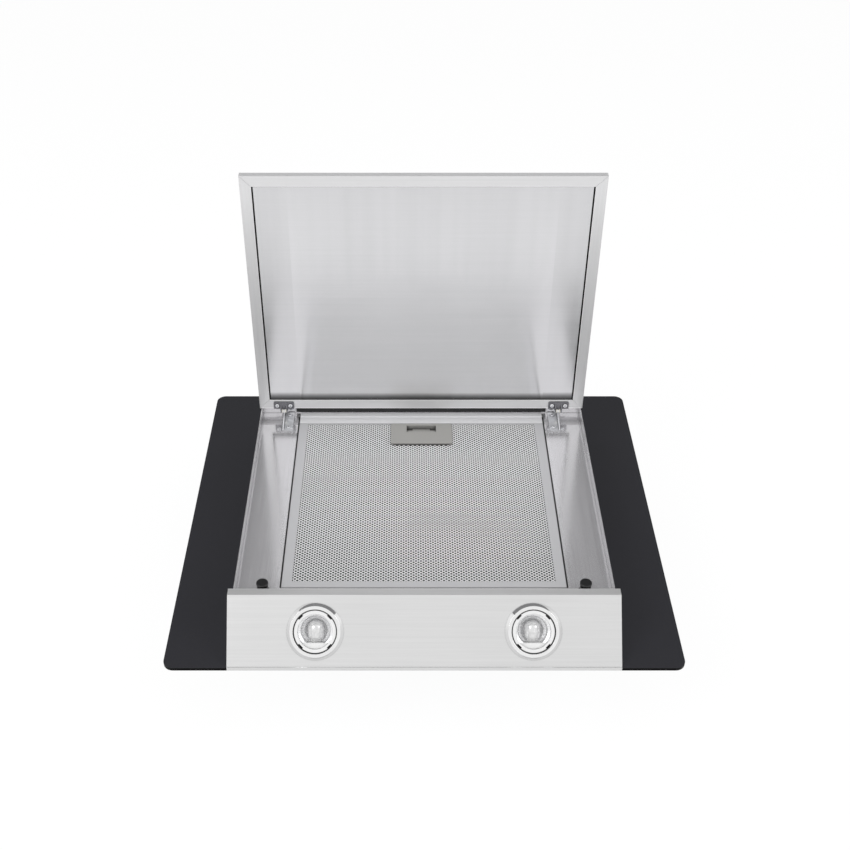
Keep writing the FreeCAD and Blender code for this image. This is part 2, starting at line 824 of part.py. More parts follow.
def revolved(outline):
    """A ring whose half section is an outline of (r, z) points."""
    loop = [V(r, 0, z) for r, z in outline]
    return Part.Face(Part.makePolygon(loop + loop[:1])).revolve(V(0, 0, 0), V(0, 0, 1), 360)


lens_z = -lens_t
retainer_r = bezel_bore_r - retainer_gap
cup_r = bezel_bore_r


def lamp_bezel():
    sleeve_r = bezel_bore_r + bezel_sleeve_wall
    return revolved([(bezel_bore_r, -bezel_sleeve_l), (sleeve_r, -bezel_sleeve_l), (sleeve_r, 0),
                     (bezel_r, 0), (bezel_r, bezel_t - bezel_bevel), (bezel_r - bezel_bevel, bezel_t),
                     (bezel_bore_r, bezel_t)])


def lamp_retainer():
    ring = ring_z(retainer_r, retainer_bore_r, 0, 0, 0, retainer_t)
    rim = [e for e in ring.Edges if e.BoundBox.ZMin > retainer_t / 2 and e.BoundBox.XMax < retainer_r - 1]
    ring = ring.makeFillet(retainer_round_r, rim)
    notches = []
    for quarter in range(4):
        notch = box(retainer_r - notch_d, retainer_r + notch_d, -notch_w / 2, notch_w / 2, 0, retainer_t)
        notch.rotate(V(0, 0, 0), V(0, 0, 1), 45 + 90 * quarter)
        notches.append(notch)
    return ring.cut(notches)


def lamp_lens():
    return Part.makeCylinder(retainer_bore_r + lens_lap, lens_t, V(0, 0, lens_z))


def holder_block(gap):
    """The bulb's holder, in the foot of the bowl."""
    y0 = holder_in - retainer_bore_r
    return box(-holder_w / 2 - gap, holder_w / 2 + gap, y0 - gap, chord_y + gap,
               bulb_z - bulb_r - gap, lens_z - cover_gap)


def lamp_reflector():
    """A stepped bowl: flat terraces with steep walls between them, cut away for the holder."""
    rim_r = retainer_bore_r + lens_lap
    step_r = (rim_r - reflector_floor_r) / reflector_steps
    step_z = reflector_depth / reflector_steps
    inside = [(rim_r, lens_z)]
    for i in range(reflector_steps):
        r = rim_r - step_r * i
        z = lens_z - step_z * i
        inside += [(r - step_r * terrace_share, z - step_z * terrace_fall), (r - step_r, z - step_z)]
    floor = lens_z - reflector_depth
    outside = [(r + reflector_wall, z - reflector_wall / 2) for r, z in inside[:-1]]
    outside += [(reflector_floor_r, floor - reflector_wall), (0, floor - reflector_wall)]
    bowl = revolved(inside + [(0, floor)] + outside[::-1])
    return bowl.cut(holder_block(cover_gap))


def lamp_bulb():
    """A clear capsule that lies up the slope from its holder, with a flat pinched foot."""
    tip = chord_y + bulb_l
    foot = chord_y + bulb_foot
    capsule = rod_y(bulb_r, 0, foot, tip, bulb_z)
    dome = [e for e in capsule.Edges if e.BoundBox.YMin > (tip + foot) / 2]
    shoulder = [e for e in capsule.Edges if e.BoundBox.YMax < foot + bulb_foot / 2]
    capsule = capsule.makeFillet(bulb_tip_r, dome).makeFillet(bulb_foot / 2, shoulder)
    pinch = box(-bulb_foot_w / 2, bulb_foot_w / 2, chord_y, foot + bulb_foot / 2, bulb_z - bulb_foot / 2,
                bulb_z + bulb_foot / 2)
    return join([capsule, pinch])


def lamp_cup():
    inner = cup_r - cup_wall
    cup = Part.makeCylinder(cup_r, cup_depth - sheet_t, V(0, 0, -cup_depth))
    return cup.cut(Part.makeCylinder(inner, cup_depth, V(0, 0, cup_wall - cup_depth)))


def lamp_holder():
    """The bulb's holder and its flat cover, which hides the foot of the bowl below a straight edge."""
    disc = rod_z(retainer_bore_r, 0, 0, lens_z - cover_gap - cover_t, lens_z - cover_gap)
    reach = retainer_bore_r + cover_gap
    cover = disc.common(box(-reach, reach, -reach, chord_y, lens_z - 2 * cover_t, lens_z))
    pillar = rod_z(holder_w / 4, 0, chord_y - holder_w / 4, cup_wall - cup_depth, bulb_z)
    return join([holder_block(0), cover, pillar])


# ---- blower --------------------------------------------------------------------------------


def housing_profile(t):
    """The housing's outline in (y, z), drawn in by t."""
    nose_z = glass_z - housing_nose_h
    foot_y = front + housing_slope_foot
    lean = hypot(foot_y - housing_y0, nose_z) / (foot_y - housing_y0)
    tilt = (foot_y - housing_y0) / nose_z
    lift = t * lean
    return [(housing_y0 + t, glass_z), (housing_y0 + t, nose_z + lift - t / tilt),
            (foot_y + (lift - t) * tilt, t), (housing_y1 - t, t), (housing_y1 - t, glass_z)]


def blower_housing():
    shell = bar_x(housing_profile(0), -housing_x, housing_x)
    hollow = bar_x(housing_profile(sheet_t), sheet_t - housing_x, housing_x - sheet_t)
    flange = box(-housing_x - flange_out, housing_x + flange_out, housing_y0 - flange_ahead,
                 housing_y1 + flange_out, glass_z - sheet_t, glass_z)
    rear = housing_y1 - wall_hole_back
    holes = [rod_z(wall_hole_r, sx * wall_hole_dx / 2, y, 0, sheet_t)
             for sx in (-1, 1) for y in (rear, rear - wall_hole_dy)]
    holes += clamp_holes(glass_z - sheet_t, glass_z)
    holes.append(rod_y(spigot_r - spigot_wall, 0, housing_y1 - sheet_t, housing_y1, spigot_z))
    holes.append(rod_x(gland_r, housing_x - sheet_t, housing_x, front + terminal_y, gland_z))
    return join([shell, flange]).cut([hollow] + holes)


def spiral_point(turn, grow, z):
    """A point on the scroll's wall, turn = 0 at the tongue and 1 where the wall runs straight."""
    angle = (scroll_tongue_deg + (360 - scroll_tongue_deg) * turn) * pi / 180
    r = scroll_tongue_r + (scroll_mouth_r - scroll_tongue_r) * turn + grow
    return V(fan_cx + r * cos(angle), fan_cy + r * sin(angle), z)


def scroll_space(grow, z0, z1):
    """The spiral, the round eye and the straight mouth of the scroll, drawn out by grow."""
    hub = V(fan_cx, fan_cy, z0)
    edges = []
    for i in range(scroll_arcs):
        a, b, c = (spiral_point((i + k / 2) / scroll_arcs, grow, z0) for k in range(3))
        edges.append(Part.Arc(a, b, c).toShape())
    edges.append(Part.makeLine(spiral_point(1, grow, z0), hub))
    edges.append(Part.makeLine(hub, spiral_point(0, grow, z0)))
    spiral = Part.Face(Part.Wire(edges)).extrude(V(0, 0, z1 - z0))
    eye = rod_z(scroll_tongue_r + grow, fan_cx, fan_cy, z0, z1)
    mouth = box(fan_cx + scroll_tongue_x - grow, fan_cx + scroll_mouth_r + grow, fan_cy,
                housing_y1 - sheet_t, z0, z1)
    return join([spiral, eye, mouth])


def blower_scroll():
    casing = scroll_space(scroll_t, scroll_bottom - scroll_t, scroll_top + scroll_t)
    inlet = rod_z(inlet_r, fan_cx, fan_cy, scroll_top, scroll_top + scroll_t)
    return casing.cut([scroll_space(0, scroll_bottom, scroll_top), inlet])


def inlet_ring():
    """A flared mouth over the scroll's inlet."""
    z = scroll_top + scroll_t
    ring = revolved([(inlet_r, 0), (inlet_r + inlet_lip, 0), (inlet_r + inlet_lip, scroll_t),
                     (inlet_r + inlet_lip / 2, inlet_lip / 2), (inlet_r, inlet_lip / 3)])
    ring.translate(V(fan_cx, fan_cy, z))
    return ring


def impeller():
    """A forward-curved drum fan round a cup that covers the motor."""
    cx, cy = fan_cx, fan_cy
    hub_r = motor_r + hub_gap
    hub_z = motor_top + hub_gap
    pieces = [ring_z(fan_r, hub_r, cx, cy, fan_z0, fan_z0 + fan_plate_t),
              ring_z(hub_r + hub_wall, hub_r, cx, cy, fan_z0, hub_z + hub_wall),
              ring_z(hub_r + hub_wall, shaft_r, cx, cy, hub_z, hub_z + hub_wall),
              ring_z(boss_r, shaft_r, cx, cy, hub_z, hub_z + boss_h),
              ring_z(fan_r, fan_r - fan_ring_w, cx, cy, fan_z1 - fan_plate_t, fan_z1)]
    for i in range(fan_blades):
        blade = box(fan_r - fan_blade_d, fan_r - fan_blade_t, -fan_blade_t / 2, fan_blade_t / 2,
                    fan_z0, fan_z1)
        blade.rotate(V(fan_r - fan_blade_d / 2, 0, 0), V(0, 0, 1), fan_blade_tilt)
        blade.rotate(V(0, 0, 0), V(0, 0, 1), 360 / fan_blades * i)
        blade.translate(V(cx, cy, 0))
        pieces.append(blade)
    return join(pieces)


def motor():
    can = rod_z(motor_r, fan_cx, fan_cy, scroll_bottom, motor_top)
    crown = [e for e in can.Edges if e.BoundBox.ZMin > motor_top - 1]
    can = can.makeFillet(motor_crown_r, crown)
    flange = rod_z(motor_flange_r, fan_cx, fan_cy, scroll_bottom, scroll_bottom + motor_flange_t)
    bore = rod_z(shaft_r + shaft_fit, fan_cx, fan_cy, motor_top - shaft_in, motor_top)
    return join([can, flange]).cut(bore)


def motor_shaft():
    top = motor_top + hub_gap + boss_h + hub_wall
    return rod_z(shaft_r, fan_cx, fan_cy, motor_top - shaft_in + slide_fit, top)


def blower_feet():
    """Rubber feet that carry the scroll on the back of the housing."""
    reach = feet_reach / hypot(1, 1)
    low = scroll_bottom - scroll_t
    return Part.makeCompound([rod_z(feet_r, fan_cx + sx * reach, fan_cy + sy * reach, sheet_t, low)
                              for sx in (-1, 1) for sy in (-1, 1)])


def floor_block(size, y):
    w, d, h = size
    x0 = housing_x - wiring_inset
    block = box(x0, x0 + w, front + y - d / 2, front + y + d / 2, sheet_t, sheet_t + h)
    return block.makeFillet(wiring_corner_r, upright_edges(block))


def cable_gland():
    y = front + terminal_y
    body = rod_x(gland_r, housing_x - gland_nut_t - sheet_t, housing_x + gland_out, y, gland_z)
    nuts = [rod_x(gland_nut_r, housing_x, housing_x + gland_nut_t, y, gland_z),
            rod_x(gland_nut_r, housing_x - gland_nut_t - sheet_t, housing_x - sheet_t, y, gland_z)]
    bore = rod_x(gland_bore_r, housing_x - 2 * gland_nut_t, housing_x + gland_out, y, gland_z)
    return join([body] + nuts).cut(bore)


# ---- duct spigot and flaps -----------------------------------------------------------------


def flap_rods():
    reach = spigot_r - spigot_wall / 2
    z0, z1 = spigot_z - reach, spigot_z + reach
    return Part.makeCompound([rod_z(flap_rod_r, side * flap_rod_x, flap_y, z0, z1) for side in (-1, 1)])


def duct_spigot():
    """A rolled collar that stands, spot-welded, on its flange ring."""
    foot = housing_y1 + spigot_flange_t
    collar = rod_y(spigot_r, 0, foot, spigot_y1, spigot_z)
    flange = rod_y(spigot_r + spigot_flange_w, 0, housing_y1, foot, spigot_z)
    bore = rod_y(spigot_r - spigot_wall, 0, housing_y1, spigot_y1, spigot_z)
    return Part.makeCompound([collar.cut([bore, flap_rods()]), flange.cut(bore)])


def damper_flap():
    """The right-hand half of the butterfly damper, closed across the duct."""
    r = spigot_r - spigot_wall - flap_gap
    disc = rod_y(r, 0, flap_y - flap_t / 2, flap_y + flap_t / 2, spigot_z)
    keep = box(flap_rod_x, r, flap_y - flap_t, flap_y + flap_t, spigot_z - r, spigot_z + r)
    half_l = r - 2 * flap_gap
    barrel = rod_z(flap_barrel_r, flap_rod_x, flap_y, spigot_z - half_l, spigot_z + half_l)
    bore = rod_z(flap_rod_r + flap_fit, flap_rod_x, flap_y, spigot_z - r, spigot_z + r)
    return join([disc.common(keep), barrel]).cut(bore)


# ---- switch --------------------------------------------------------------------------------


def button_places():
    first = front + switch_y - button_pitch * (len(buttons) - 1) / 2
    return [first + button_pitch * i for i in range(len(buttons))]


def switch_module(gap):
    y = front + switch_y
    z = glass_top + switch_z
    half_l = switch_l / 2 - switch_lap + gap
    half_h = switch_h / 2 - switch_lap + gap
    return box(body_x - switch_depth, body_x, y - half_l, y + half_l, z - half_h, z + half_h)


def button_box(y, gap, x0, x1):
    z = glass_top + switch_z
    half_l = button_l / 2 + gap
    half_h = button_h / 2 + gap
    return box(x0, x1, y - half_l, y + half_l, z - half_h, z + half_h)


def switch_body():
    y = front + switch_y
    z = glass_top + switch_z
    face = box(body_x, body_x + switch_face_t, y - switch_l / 2, y + switch_l / 2, z - switch_h / 2,
               z + switch_h / 2)
    floor_x = body_x - button_in - button_travel - button_gap
    wells = [button_box(place, button_gap, floor_x, body_x + switch_face_t) for place in button_places()]
    return join([face, switch_module(0)]).cut(wells)


def push_button(y):
    return button_box(y, 0, body_x - button_in, body_x + switch_face_t + button_out)


# ---- write every piece ---------------------------------------------------------------------

os.makedirs("parts", exist_ok=True)

save("glass_panel", glass_panel())
save("glass_gasket", glass_gasket())
save("glass_fixings", glass_fixings())
save("body_tray", body_tray())
save("filter_seat", filter_seat())
save("lamp_band", lamp_band())

save("lid_tray", lid_tray())
save("lid_liner", lid_liner())
save("lid_pad", lid_pad())
save_pair("hinge_leaf", hinge_leaf())
save_pair("hinge_bracket", hinge_bracket())
save_both("hinge_pins", hinge_pin())
save("hinge_washers", hinge_washers())
save("lid_hinge_screws", lid_hinge_screws())
save("body_hinge_screws", body_hinge_screws())

save_pair("catch_sleeve", catch_sleeve())
save_pair("catch_plunger", catch_plunger())
save_both("catch_springs", catch_spring())

save("filter_frame", filter_frame())
save("filter_face_mesh", filter_face_mesh())
save("filter_pack", filter_pack())
save("filter_back_mesh", filter_back_mesh())
save("filter_handle", filter_handle())
save("filter_latch", filter_latch())
save_both("latch_springs", latch_spring())

lamp_pieces = {"lamp_bezel": lamp_bezel, "lamp_retainer": lamp_retainer, "lamp_lens": lamp_lens,
               "lamp_reflector": lamp_reflector, "lamp_bulb": lamp_bulb}
for name, make in lamp_pieces.items():
    save_pair(name, on_band(make(), lamp_x))
save_both("lamp_cups", on_band(lamp_cup(), lamp_x))
save_both("lamp_holders", on_band(lamp_holder(), lamp_x))

save("blower_housing", blower_housing())
save("blower_scroll", blower_scroll())
save("blower_feet", blower_feet())
save("inlet_ring", inlet_ring())
save("impeller", impeller())
save("motor", motor())
save("motor_shaft", motor_shaft())
save("motor_capacitor", floor_block(capacitor_size, capacitor_y))
save("terminal_box", floor_block(terminal_size, terminal_y))
save("cable_gland", cable_gland())

save("duct_spigot", duct_spigot())
save("damper_rods", flap_rods())
save_pair("damper_flap", damper_flap())

save("switch_body", switch_body())
for name, place in zip(buttons, button_places()):
    save(name, push_button(place))
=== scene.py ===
# %% [markdown]
# # A glass extractor hood, lying on its back with the suction lid open
# This lesson dresses a hood whose real pieces already exist as a fixed frame. The frame holds
# the shapes that carry, turn and fasten. What is left is how the hood looks: brushed steel,
# black glass, a perforated grease filter and two lamps. The first cell loads the frame, and
# gives a way to read the box of any of its pieces. The finished hood must not grow out of it.

# %% Load the frame
import math

import bmesh
import bpy
from mathutils import Matrix, Vector


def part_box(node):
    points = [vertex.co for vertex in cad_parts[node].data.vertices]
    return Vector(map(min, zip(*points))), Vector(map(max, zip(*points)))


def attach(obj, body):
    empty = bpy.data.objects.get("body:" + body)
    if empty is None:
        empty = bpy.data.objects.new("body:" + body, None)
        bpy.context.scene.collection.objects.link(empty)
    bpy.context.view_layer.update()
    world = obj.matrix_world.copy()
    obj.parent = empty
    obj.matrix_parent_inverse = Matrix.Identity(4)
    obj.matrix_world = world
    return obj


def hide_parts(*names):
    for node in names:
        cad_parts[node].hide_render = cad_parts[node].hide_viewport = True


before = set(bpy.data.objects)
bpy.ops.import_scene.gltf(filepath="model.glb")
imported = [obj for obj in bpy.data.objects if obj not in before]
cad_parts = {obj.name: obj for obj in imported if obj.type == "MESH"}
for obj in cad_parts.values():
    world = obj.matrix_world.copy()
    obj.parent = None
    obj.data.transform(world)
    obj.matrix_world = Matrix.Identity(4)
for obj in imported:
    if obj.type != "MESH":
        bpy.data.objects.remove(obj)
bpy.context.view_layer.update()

MM = 0.001

# %% [markdown]
# ## The camera
# The hood was pictured from in front and above, with a normal lens. Such a view could be found
# by hand, but here it was solved from the straight edges of the glass, the lid and the lamp
# band. They say that the camera stood level and looked straight ahead and down, and that the
# picture was cropped a little off its middle. A small sideways shift of the lens does the same
# without bending any line.

# %% Camera
CAMERA_PLACE = Vector((-21.3, -1154.4, 1214.2)) * MM
LOOK_DOWN = math.radians(38.09)
LENS = 50.2
SENSOR = 36
CROP_SHIFT = 0.0227

camera = bpy.data.objects.new("camera", bpy.data.cameras.new("camera"))
bpy.context.scene.collection.objects.link(camera)
camera.data.lens = LENS
camera.data.sensor_width = SENSOR
camera.data.shift_x = CROP_SHIFT
tip_up = Matrix.Rotation(math.pi / 2 - LOOK_DOWN, 4, "X")
camera.matrix_world = Matrix.Translation(CAMERA_PLACE) @ tip_up
bpy.context.scene.camera = camera
bpy.context.scene.view_settings.view_transform = "Standard"
print("camera at", tuple(round(value, 3) for value in CAMERA_PLACE))

# %% [markdown]
# ## Arithmetic on sockets
# A finish is a small graph of nodes. Placing them one by one hides the idea, so this cell wraps
# a socket in a class with + - * and /, and each of them adds a Math node. The finish itself
# has one method for every other kind of node, and short ones for what most finishes need:
# noise, rounded edges, bumps and painted corner shade. Colours are written as a screen shows
# them, and turned into the light values that the renderer adds up.

# %% Wires and finishes
EDGE_SAMPLES = 4
CREVICE_SAMPLES = 6
CREVICE_FADE = 1.5
NEARLY_BLACK = (0.004, 0.004, 0.004, 1)


def screen(red, green, blue):
    """A colour as a screen shows it, from 0 to 255, turned into light."""
    light = []
    for value in (red, green, blue):
        share = value / 255
        light.append(share / 12.92 if share < 0.04045 else ((share + 0.055) / 1.055) ** 2.4)
    return (*light, 1.0)


def tinted(colour, share):
    """The colour, made darker or lighter by a share."""
    return tuple(min(value * share, 1) for value in colour[:3]) + (1,)


class Wire:
    """A node's output, which can be used in sums."""

    def __init__(self, finish, socket):
        self.finish = finish
        self.socket = socket

    def sum_of(self, operation, first, second):
        return self.finish.node("ShaderNodeMath", {"operation": operation}, {0: first, 1: second})

    def __add__(self, other):
        return self.sum_of("ADD", self, other)

    def __radd__(self, other):
        return self.sum_of("ADD", other, self)

    def __sub__(self, other):
        return self.sum_of("SUBTRACT", self, other)

    def __rsub__(self, other):
        return self.sum_of("SUBTRACT", other, self)

    def __mul__(self, other):
        return self.sum_of("MULTIPLY", self, other)

    def __rmul__(self, other):
        return self.sum_of("MULTIPLY", other, self)

    def __truediv__(self, other):
        return self.sum_of("DIVIDE", self, other)

    def __pow__(self, other):
        return self.sum_of("POWER", self, other)

    def above(self, other):
        """1 where the value is above the other, and 0 elsewhere."""
        return self.sum_of("GREATER_THAN", self, other)

    def larger(self, other):
        return self.sum_of("MAXIMUM", self, other)

    def smaller(self, other):
        return self.sum_of("MINIMUM", self, other)

    def size(self):
        """The value without its sign."""
        return self.sum_of("ABSOLUTE", self, 0)

    def held(self):
        """The value, held between 0 and 1."""
        return self.finish.node("ShaderNodeClamp", {}, {0: self, 1: 0.0, 2: 1.0})


class Finish:
    """A material, and the nodes that build it."""

    def __init__(self, name, shader="ShaderNodeBsdfPrincipled", owner=None):
        self.owner = owner or bpy.data.materials.new(name)
        self.owner.use_nodes = True
        self.nodes = self.owner.node_tree.nodes
        self.links = self.owner.node_tree.links
        self.nodes.clear()
        self.shader = self.nodes.new(shader)

    def node(self, kind, settings=None, sockets=None, out=0):
        """Makes a node of any kind, and gives one of its outputs."""
        made = self.nodes.new(kind)
        for name, value in (settings or {}).items():
            setattr(made, name, value)
        self.feed(made, sockets or {})
        return Wire(self, made.outputs[out])

    def feed(self, node, sockets):
        """Links wires to a node's sockets, and sets the others to plain values."""
        for key, value in sockets.items():
            if isinstance(value, Wire):
                self.links.new(value.socket, node.inputs[key])
            else:
                node.inputs[key].default_value = value

    def wear(self, **sockets):
        """Sets the shader's own sockets; an underscore stands for a space."""
        spaced = {name.replace("_", " "): value for name, value in sockets.items()}
        self.feed(self.shader, spaced)

    def blend(self, share, first, second):
        """A colour that goes from first to second as share goes from 0 to 1."""
        sockets = {0: share, 6: first, 7: second}
        return self.node("ShaderNodeMix", {"data_type": "RGBA"}, sockets, out=2)

    def place(self, scale=(1, 1, 1)):
        """Object coordinates in metres, stretched by scale."""
        spot = self.node("ShaderNodeTexCoord", out=3)
        return self.node("ShaderNodeMapping", {}, {"Vector": spot, "Scale": scale})

    def axes(self):
        """The three Object coordinates by themselves."""
        spot = self.node("ShaderNodeTexCoord", out=3)
        apart = self.node("ShaderNodeSeparateXYZ", {}, {0: spot}).socket.node
        return [Wire(self, socket) for socket in apart.outputs]

    def noise(self, scale, detail=2.0, rough=0.5, spot=None):
        """Cloudy noise from 0 to 1, with that many clouds to the metre along X, Y and Z."""
        where = spot or self.place(scale)
        sockets = {"Vector": where, "Scale": 1.0, "Detail": detail, "Roughness": rough}
        return self.node("ShaderNodeTexNoise", {}, sockets)

    def rounded(self, radius):
        """Normals that round every edge by a radius in millimetres."""
        return self.node("ShaderNodeBevel", {"samples": EDGE_SAMPLES}, {"Radius": radius * MM})

    def bump(self, strength, distance, height, **normal):
        """Normals tilted by a height from 0 to 1, which stands for a distance in millimetres."""
        sockets = {"Strength": strength, "Distance": distance * MM, "Height": height, **normal}
        return self.node("ShaderNodeBump", {}, sockets)

    def painted_corner_shade(self, reach, floor):
        """Painted corner shade: 1 in the open, falling to floor where other surfaces lie within
        reach millimetres.
        """
        settings, sockets = {"samples": CREVICE_SAMPLES}, {"Distance": reach * MM}
        open_share = self.node("ShaderNodeAmbientOcclusion", settings, sockets, out=1)
        return floor + open_share ** CREVICE_FADE * (1 - floor)

    def faces_along(self, axis):
        """How squarely the surface faces along X, Y or Z, from 0 to 1."""
        facing = self.node("ShaderNodeNewGeometry", out=1)
        part = self.node("ShaderNodeSeparateXYZ", {}, {0: facing}, out="XYZ".index(axis))
        return part.size()

    def darken(self, colour, share):
        """The colour times a share from 0 to 1."""
        return self.blend(share, NEARLY_BLACK, colour)

    def done(self, surface=None):
        """Gives the shader, or another surface, to the material's output."""
        out = self.nodes.new("ShaderNodeOutputMaterial")
        self.links.new((surface.socket if surface else self.shader.outputs[0]), out.inputs[0])
        return self.owner


def dress(material, *names):
    """Gives a finish to pieces of the frame."""
    for name in names:
        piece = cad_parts[name]
        piece.data.materials.clear()
        piece.data.materials.append(material)
    print(material.name, "on", len(names), "pieces")


# %% [markdown]
# ## A plain studio
# Metal has no colour of its own: it shows the room. A product like this is lit by a white room
# with a dim ceiling behind it, so the steel that looks up goes grey, while the steel that looks
# forward stays bright. The world and the floor are white to the camera, to reflections and
# through glass, and give a plain soft light to everything else. The floor keeps a share of its
# real shading, so the hood still casts a soft shadow.

# %% World and floor
def seen_directly(finish):
    """1 for rays that show the room: from the camera, off metal or through glass."""
    rays = finish.node("ShaderNodeLightPath").socket.node.outputs
    kinds = ("Is Camera Ray", "Is Glossy Ray", "Is Transmission Ray")
    camera_ray, glossy_ray, glass_ray = [Wire(finish, rays[kind]) for kind in kinds]
    return camera_ray.larger(glossy_ray.larger(glass_ray))


WORLD_LIGHT = 0.75
world = bpy.data.worlds.new("studio")
bpy.context.scene.world = world
room = Finish("studio", "ShaderNodeBackground", world)
shown = seen_directly(room)
room.wear(Color=(1, 1, 1, 1), Strength=shown + (1 - shown) * WORLD_LIGHT)
room.links.new(room.shader.outputs[0], room.nodes.new("ShaderNodeOutputWorld").inputs[0])


def new_piece(name, bm):
    """Turns a bmesh into an object at the origin."""
    mesh = bpy.data.meshes.new(name)
    bm.to_mesh(mesh)
    bm.free()
    piece = bpy.data.objects.new(name, mesh)
    bpy.context.scene.collection.objects.link(piece)
    return piece


FLOOR_SIZE = 14.0
SHADOW_SHARE = 0.12
FLOOR_GLOW = 1.05
bm = bmesh.new()
bmesh.ops.create_grid(bm, x_segments=1, y_segments=1, size=FLOOR_SIZE / 2)
floor = new_piece("studio_floor", bm)
pale = Finish("pale_floor", "ShaderNodeBsdfDiffuse")
pale.wear(Color=(0.9, 0.9, 0.9, 1))
glow = pale.node("ShaderNodeEmission", {}, {"Color": (1, 1, 1, 1), "Strength": FLOOR_GLOW})
shaded = Wire(pale, pale.shader.outputs[0])
glow_share = seen_directly(pale) * (1 - SHADOW_SHARE)
mixed = pale.node("ShaderNodeMixShader", {}, {0: glow_share, 1: shaded, 2: glow})
floor.data.materials.append(pale.done(mixed))
print("floor", FLOOR_SIZE, "m wide")

# %% [markdown]
# ## The ceiling and the lamps of the studio
# A dim soft ceiling hangs behind and above the hood, out of every view. It could be part of the
# world's colour, but as a real card it also throws a real reflection with an edge. Two large
# soft boxes give the shadows a direction, from the front left and the right.

# %% Ceiling card and soft boxes
CEILING_HEIGHT = 3.0
CEILING_SIZE = (9.0, 6.0)
CEILING_BEHIND = 4.6
CEILING_GLOW = 0.24
bm = bmesh.new()
bmesh.ops.create_grid(bm, x_segments=1, y_segments=1, size=0.5)
bmesh.ops.scale(bm, vec=(*CEILING_SIZE, 1.0), verts=bm.verts)
bmesh.ops.translate(bm, vec=(0, CEILING_BEHIND, CEILING_HEIGHT), verts=bm.verts)
bmesh.ops.reverse_faces(bm, faces=bm.faces)
ceiling = new_piece("studio_ceiling", bm)
dim = Finish("dim_ceiling", "ShaderNodeEmission")
dim.wear(Color=(1, 1, 1.02, 1), Strength=CEILING_GLOW)
ceiling.data.materials.append(dim.done())


def soft_box(name, place, size, watts, target=(0, 0, 0.25)):
    light = bpy.data.objects.new(name, bpy.data.lights.new(name, "AREA"))
    light.data.shape = "SQUARE"
    light.data.size = size
    light.data.energy = watts
    light.location = place
    light.rotation_mode = "QUATERNION"
    light.rotation_quaternion = (Vector(place) - Vector(target)).to_track_quat("Z", "Y")
    bpy.context.scene.collection.objects.link(light)


soft_box("soft_box_left", (-2.0, -1.6, 2.6), 1.6, 26)
soft_box("soft_box_right", (2.2, -1.0, 2.2), 1.4, 12)
print("ceiling at", CEILING_HEIGHT, "m")

# %% [markdown]
# ## Brushed steel
# Brushed sheet is a mirror with thousands of fine scratches, all one way. Along a scratch a
# reflection stays sharp, across it the reflection smears. A picture of scratches would show its
# seams, so the scratches are noise, stretched a hundred times along the grain. It tints the
# steel a little, changes its polish, and tilts the surface through a bump. A bevel rounds the
# cut edges in the shading, which gives every fold its thin bright line. The steel isn't quite
# all metal: its satin scatter takes light from every side, as a dull surface does. Where two
# pieces meet, an occlusion node paints shade into the last few millimetres of the colour. Some
# steels also get painted light or shade by place, from a function given to them.

# %% Steel finish
SCRATCHES = 420.0
SCRATCH_LENGTH = 5.0
SCRATCH_HEIGHT = 0.06


def brushed(name, tone, rough, grain="X", depth=0.25, streaks=0.05, metal=0.78, edge=0.35,
            spot=None, shade=None, shade_reach=3.0, deepest=0.5, **more):
    """Steel, brushed along X, Y or Z. The tone is what a white room turns it into.

    depth is the strength of the scratches, streaks the share by which they change the tone, and
    edge the rounding of the edges in millimetres. Painted corner shade darkens the colour near
    other surfaces, as far as the given reach in millimetres, and deepest is the share of light
    that it keeps. shade paints light or shade into the colour by place.
    """
    steel = Finish(name)
    scale = tuple(SCRATCH_LENGTH if axis == grain else SCRATCHES for axis in "XYZ")
    scratches = steel.noise(scale, 5.0, 0.65, spot and spot(steel))
    clouds = steel.noise((9, 9, 9), 3.0)
    mottle = scratches * 1.6 + clouds * 0.4 - 0.5
    colour = steel.blend(mottle, tinted(tone, 1 - streaks), tinted(tone, 1 + streaks))
    # Painted shade: the colour darkens where other surfaces lie close, in corners and gaps.
    if shade_reach:
        colour = steel.darken(colour, steel.painted_corner_shade(shade_reach, deepest))
    if shade:
        colour = shade(steel, colour)
    steel.wear(
        Base_Color=colour,
        Roughness=rough + (clouds - 0.5) * 0.10 + (scratches - 0.5) * 0.16,
        Metallic=metal,
        Normal=steel.bump(depth, SCRATCH_HEIGHT, scratches, Normal=steel.rounded(edge)),
        **more,
    )
    return steel.done()


FACES_SIDEWAYS = 0.7
WALL_SHADE = 0.4


def painted_wall_shade(finish, colour):
    """Painted shade: the side walls, which face sideways, are darker than the floor."""
    walls = finish.faces_along("X").above(FACES_SIDEWAYS)
    return finish.darken(colour, 1 - walls * WALL_SHADE)


# Painted corner shade outlines the lamps in the band and darkens the body's corners.
steel_band = brushed("steel_band", screen(215, 215, 215), 0.34, shade_reach=2.0, deepest=0.25)
steel_body = brushed("steel_body", screen(231, 230, 232), 0.15, grain="Y", depth=0.14,
                     shade=painted_wall_shade, shade_reach=1.6, deepest=0.6)
dress(steel_band, "lamp_band")
dress(steel_body, "body_tray")

# %% [markdown]
# ## The lid
# The lid is a shallow tray of brushed steel, folded in at its four edges, and its corners are
# mitred. Each folded edge carries its own grain, so the mitres show as a change of shine. The
# bright liner inside is brushed sideways: what it mirrors is drawn out up and down, like
# lights on wet tarmac. The gap round the liner shows the dark damping pad and the inside of the
# tray, which lies in shade, so that shade is painted into the colour there. The side flanges
# get painted shade and the folds painted highlights, and the liner gets painted light and shade.

# %% Lid finishes
lid_low, lid_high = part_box("lid_tray")
lid_middle = (lid_low + lid_high) / 2
lid_half = (lid_high - lid_low) / 2


